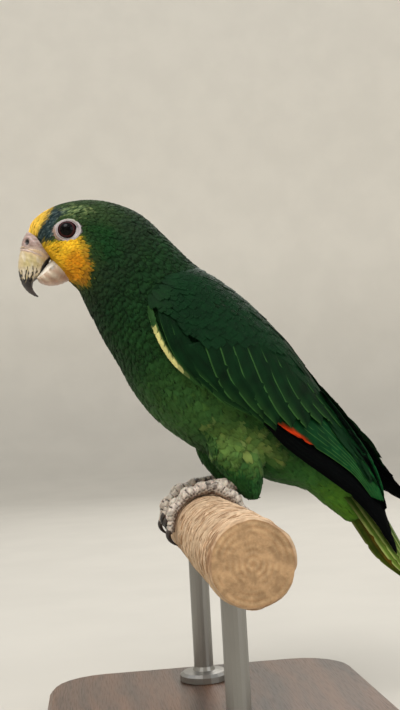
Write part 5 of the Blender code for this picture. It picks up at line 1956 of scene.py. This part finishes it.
def make_claw(toe, side_name, side, material):
    """A claw that goes on from its toe's end and curves down to the branch."""
    start, end, _, y_end = TOES[toe]
    turn = math.copysign(1.0, end - start)
    t = np.linspace(0, 1, 30)
    angle = np.radians(end + turn * (CLAW_ARC * t - 3.0))
    radius = 1.62 * (1 - t) ** 0.8 + 0.16
    lift = 1.9 * np.sin(math.pi * t**0.8)
    reach = PERCH_RADIUS + GAP + 2.6 * (1 - t) + lift + 0.55
    y = side * (FOOT_Y + y_end + 0.5 * np.copysign(t, y_end))
    grid = tube_grid(round_perch(reach, angle, y), radius, 20)
    grid = grid + surface_normals(grid) * 0.04 * np.sin(t * 40)[:, None, None]
    tint = mix(COLOURS["claw_root"], COLOURS["claw"], ease(t[:, None], 0.0, 0.45))
    solid = f"claw_{toe}_{side_name}"
    grid_piece("horn_" + solid, grid, tint, material, [solid])


def make_feet():
    """Both feet with their claws."""
    scales = bare_skin_finish("scaly_skin", 1500.0, 0.4, 0.6)
    horn = claw_finish()
    for side_name, side in SIDES.items():
        make_foot(side_name, side, scales)
        for toe in TOES:
            make_claw(toe, side_name, side, horn)


# ---------------------------------------------------------------- perch and stand


STROKES = 5200
FIBRES = 900


def gnawed(angle, y, seed):
    """Strokes that run round the branch, where its fibres have been gnawed and torn."""
    dice = np.random.default_rng(seed)
    height = np.zeros((len(y), len(angle)))
    for _ in range(STROKES):
        middle, place = dice.uniform(0, 2 * math.pi), dice.uniform(y[0], y[-1])
        half, width = dice.uniform(0.12, 0.55), dice.uniform(0.5, 1.5)
        depth = dice.normal(0, 0.26)
        slant = dice.normal(0, 1.6)
        near = np.nonzero(np.abs(y - place) < 3 * width + abs(slant) * half)[0]
        turn = (angle - middle + math.pi) % (2 * math.pi) - math.pi
        off = y[near, None] - place - slant * turn
        height[near] += depth * bell(off, 0.0, width) * ease(np.abs(turn) / half, 1.0, 0.6)
    return np.clip(height, -1.1, 0.9)


def saw_cut(radius, angle, y, outward):
    """Rings of a cut end from near its middle to its rim, with a slight roughness."""
    caps = 14
    cut = round_perch(radius * np.linspace(0.04, 0.985, caps)[:, None], angle, y)
    cut[..., 1] += outward * 0.10 * waves(cut * (1, 0, 0.2), 1.6, 112)
    return cut


def make_perch(material):
    """The cut length of branch, with gnawed fibres round it and plain saw cuts at its ends."""
    near, far = PERCH_ENDS
    y, angle = np.linspace(near, far, 300), circle(168)
    height = gnawed(angle, y, 111)
    across = y[:, None]
    swell = 0.35 * np.maximum(0.0, -np.sin(angle)) * np.sin(across / 19.0)
    chamfer = -0.9 * (ease(across, near + 1.4, near) + ease(across, far - 1.4, far))
    free = 0.35 + 0.65 * ease(np.abs(np.abs(across) - FOOT_Y), 10.0, 15.0)
    radius = PERCH_RADIUS + swell + chamfer + height * free - 0.12
    start, end = saw_cut(radius[0], angle, near, -1), saw_cut(radius[-1], angle, far, 1)
    grid = np.concatenate([start, round_perch(radius, angle, across), end[::-1]])
    caps = len(start)
    lit = np.pad(height, ((caps, caps), (0, 0)))
    # lit: the strokes' height; painted highlight on the raised fibres, painted shade in the gouges
    tint = mix(COLOURS["wood"], COLOURS["wood_ridge_highlight"], ease(lit, -0.4, 0.5))
    tint = mix(tint, COLOURS["wood_gouge_shade"], 0.6 * ease(lit, -0.25, -0.9))
    tint = mix(tint, COLOURS["wood_patch"], 0.4 * ease(waves(grid, 34.0, 113), 0.0, 1.0))
    out = np.hypot(grid[..., 0], grid[..., 2])
    wobble = 0.6 * np.sin(np.arctan2(grid[..., 2], grid[..., 0]) * 3)
    sawn = mix(COLOURS["sawn"], COLOURS["sawn_ring"], 0.5 + 0.5 * np.sin(out * 2.6 + wobble))
    tint[:caps], tint[-caps:] = sawn[:caps], sawn[-caps:]
    return grid_piece("perch_branch", grid, tint, material, ["perch"])


def make_fibres(material):
    """Torn fibres that stand a little off the branch, most of them running round it."""
    dice = np.random.default_rng(115)
    steps, sides = 6, 4
    near, far = PERCH_ENDS
    points, tints = [], []
    for _ in range(FIBRES):
        place, start = dice.uniform(near + 4, far - 4), dice.uniform(0, 2 * math.pi)
        if abs(abs(place) - FOOT_Y) < 15 and math.sin(start + 0.15) > -0.3:
            continue
        t = np.linspace(0, 1, steps)
        angle = start + dice.uniform(0.16, 0.55) * t
        lift = -0.15 + dice.uniform(0.25, 0.9) * np.sin(math.pi * t) ** 0.5 * dice.uniform(0.4, 1.0)
        y = place + dice.normal(0, 1.3) * t + dice.normal(0, 0.4) * np.sin(math.pi * t)
        radius = dice.uniform(0.14, 0.36) * (np.sin(math.pi * np.clip(t, 0.05, 0.95)) ** 0.6)
        line = round_perch(PERCH_RADIUS + lift, angle, y)
        points.append(tube_grid(line, radius, sides))
        tone = mix(COLOURS["fibre"], COLOURS["fibre_pale"], dice.uniform(0, 1))
        tints.append(np.tile(tone, (steps * sides, 1)))
    quads, tris = outwards(points[0], *tube_faces(steps, sides))
    shift = (np.arange(len(points)) * steps * sides)[:, None, None]
    mesh = make_mesh("perch_fibres", points, quads + shift, tris + shift, np.vstack(tints))
    make_piece("perch_fibres", mesh, material)


def finish_stand():
    """The stand's own solids stay as they are: the base takes waxed wood, the rods keep plain metal."""
    wood = stand_wood_finish()
    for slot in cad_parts["stand_base"].material_slots:
        slot.material = wood


def make_stand():
    """The branch, its loose fibres and the display stand."""
    wood = wood_finish()
    make_perch(wood)
    make_fibres(wood)
    finish_stand()


# ---------------------------------------------------------------- camera and studio

# Place in metres, lens and sensor in mm, matched to the photo's framing
CAMERA_PLACE = Vector((-0.063, -0.581, 0.167))
CAMERA_YAW = math.radians(6.56)
CAMERA_PITCH = math.radians(4.4)
CAMERA_ROLL = math.radians(3.2)
CAMERA_LENS = 50.0
CAMERA_SENSOR = 36.0


def make_camera():
    """A level camera frame, turned, tipped up and rolled as the photo's was."""
    level = math.cos(CAMERA_PITCH)
    ahead = Vector((math.sin(CAMERA_YAW) * level, math.cos(CAMERA_YAW) * level, math.sin(CAMERA_PITCH)))
    right = Vector((math.cos(CAMERA_YAW), -math.sin(CAMERA_YAW), 0.0))
    up = right.cross(ahead)
    turned_right = right * math.cos(CAMERA_ROLL) - up * math.sin(CAMERA_ROLL)
    turned_up = right * math.sin(CAMERA_ROLL) + up * math.cos(CAMERA_ROLL)
    axes = Matrix((turned_right, turned_up, -ahead)).transposed()
    data = bpy.data.cameras.new("camera")
    data.lens = CAMERA_LENS
    data.sensor_width = CAMERA_SENSOR
    data.dof.use_dof = False
    camera = bpy.data.objects.new("camera", data)
    camera.matrix_world = Matrix.Translation(CAMERA_PLACE) @ axes.to_4x4()
    bpy.context.scene.collection.objects.link(camera)
    bpy.context.scene.camera = camera


# Distance from the middle and height of the studio's floor and wall, in metres
STUDIO_OUTLINE = [
    (0.02, 0.0), (1.0, 0.0), (2.2, 0.0), (2.6, 0.05), (2.85, 0.2), (3.0, 0.5), (3.0, 1.2), (3.0, 2.4),
]


def make_studio():
    """A pale floor that curves up into a wall all round, open above."""
    turns = 96
    angle = circle(turns)
    radius, height = np.array(STUDIO_OUTLINE)[:, :, None].swapaxes(0, 1)
    grid = np.stack([radius * np.cos(angle), radius * np.sin(angle), height * np.ones(turns)], -1)
    points = np.vstack([[(0, 0, 0)], grid.reshape(-1, 3)]) / MM - (0, 0, PERCH_AXIS)
    quads = sheet_faces(len(grid), turns, closed=True) + 1
    j = np.arange(turns)
    tris = np.stack([np.zeros_like(j), 1 + j, 1 + (j + 1) % turns], -1)
    mesh = make_mesh("studio_floor", points, quads, tris)
    make_object("studio_floor", mesh, studio_finish())


LIGHT_AIM = (0.0, 0.0, 0.2)
WARM = (1.0, 0.98, 0.95)
COOL = (0.96, 0.98, 1.0)


def add_area_light(name, place, size, power, colour):
    """A round soft light that looks at the parrot."""
    data = bpy.data.lights.new(name, "AREA")
    data.shape = "DISK"
    data.size = size
    data.energy = power
    data.color = colour
    light = bpy.data.objects.new(name, data)
    light.location = place
    way = Vector(LIGHT_AIM) - Vector(place)
    light.rotation_euler = way.to_track_quat("-Z", "Y").to_euler()
    bpy.context.scene.collection.objects.link(light)


def light_studio():
    """A soft key, a cool fill and a light from behind, under an even pale sky."""
    add_area_light("key", (-0.45, -0.75, 1.5), 0.9, 15.0, WARM)
    add_area_light("fill", (1.3, -0.9, 0.7), 1.2, 6.0, COOL)
    add_area_light("back", (0.5, 1.3, 1.3), 1.0, 10.0, WARM)
    world = bpy.data.worlds.new("studio_air")
    world.use_nodes = True
    background = world.node_tree.nodes["Background"]
    background.inputs["Color"].default_value = (0.93, 0.94, 0.96, 1.0)
    background.inputs["Strength"].default_value = 0.95
    bpy.context.scene.world = world
    bpy.context.scene.view_settings.view_transform = "Standard"


def main():
    make_camera()
    make_skin()
    make_body_coat()
    make_wings()
    make_tail()
    make_head()
    make_feet()
    make_stand()
    make_studio()
    light_studio()


main()
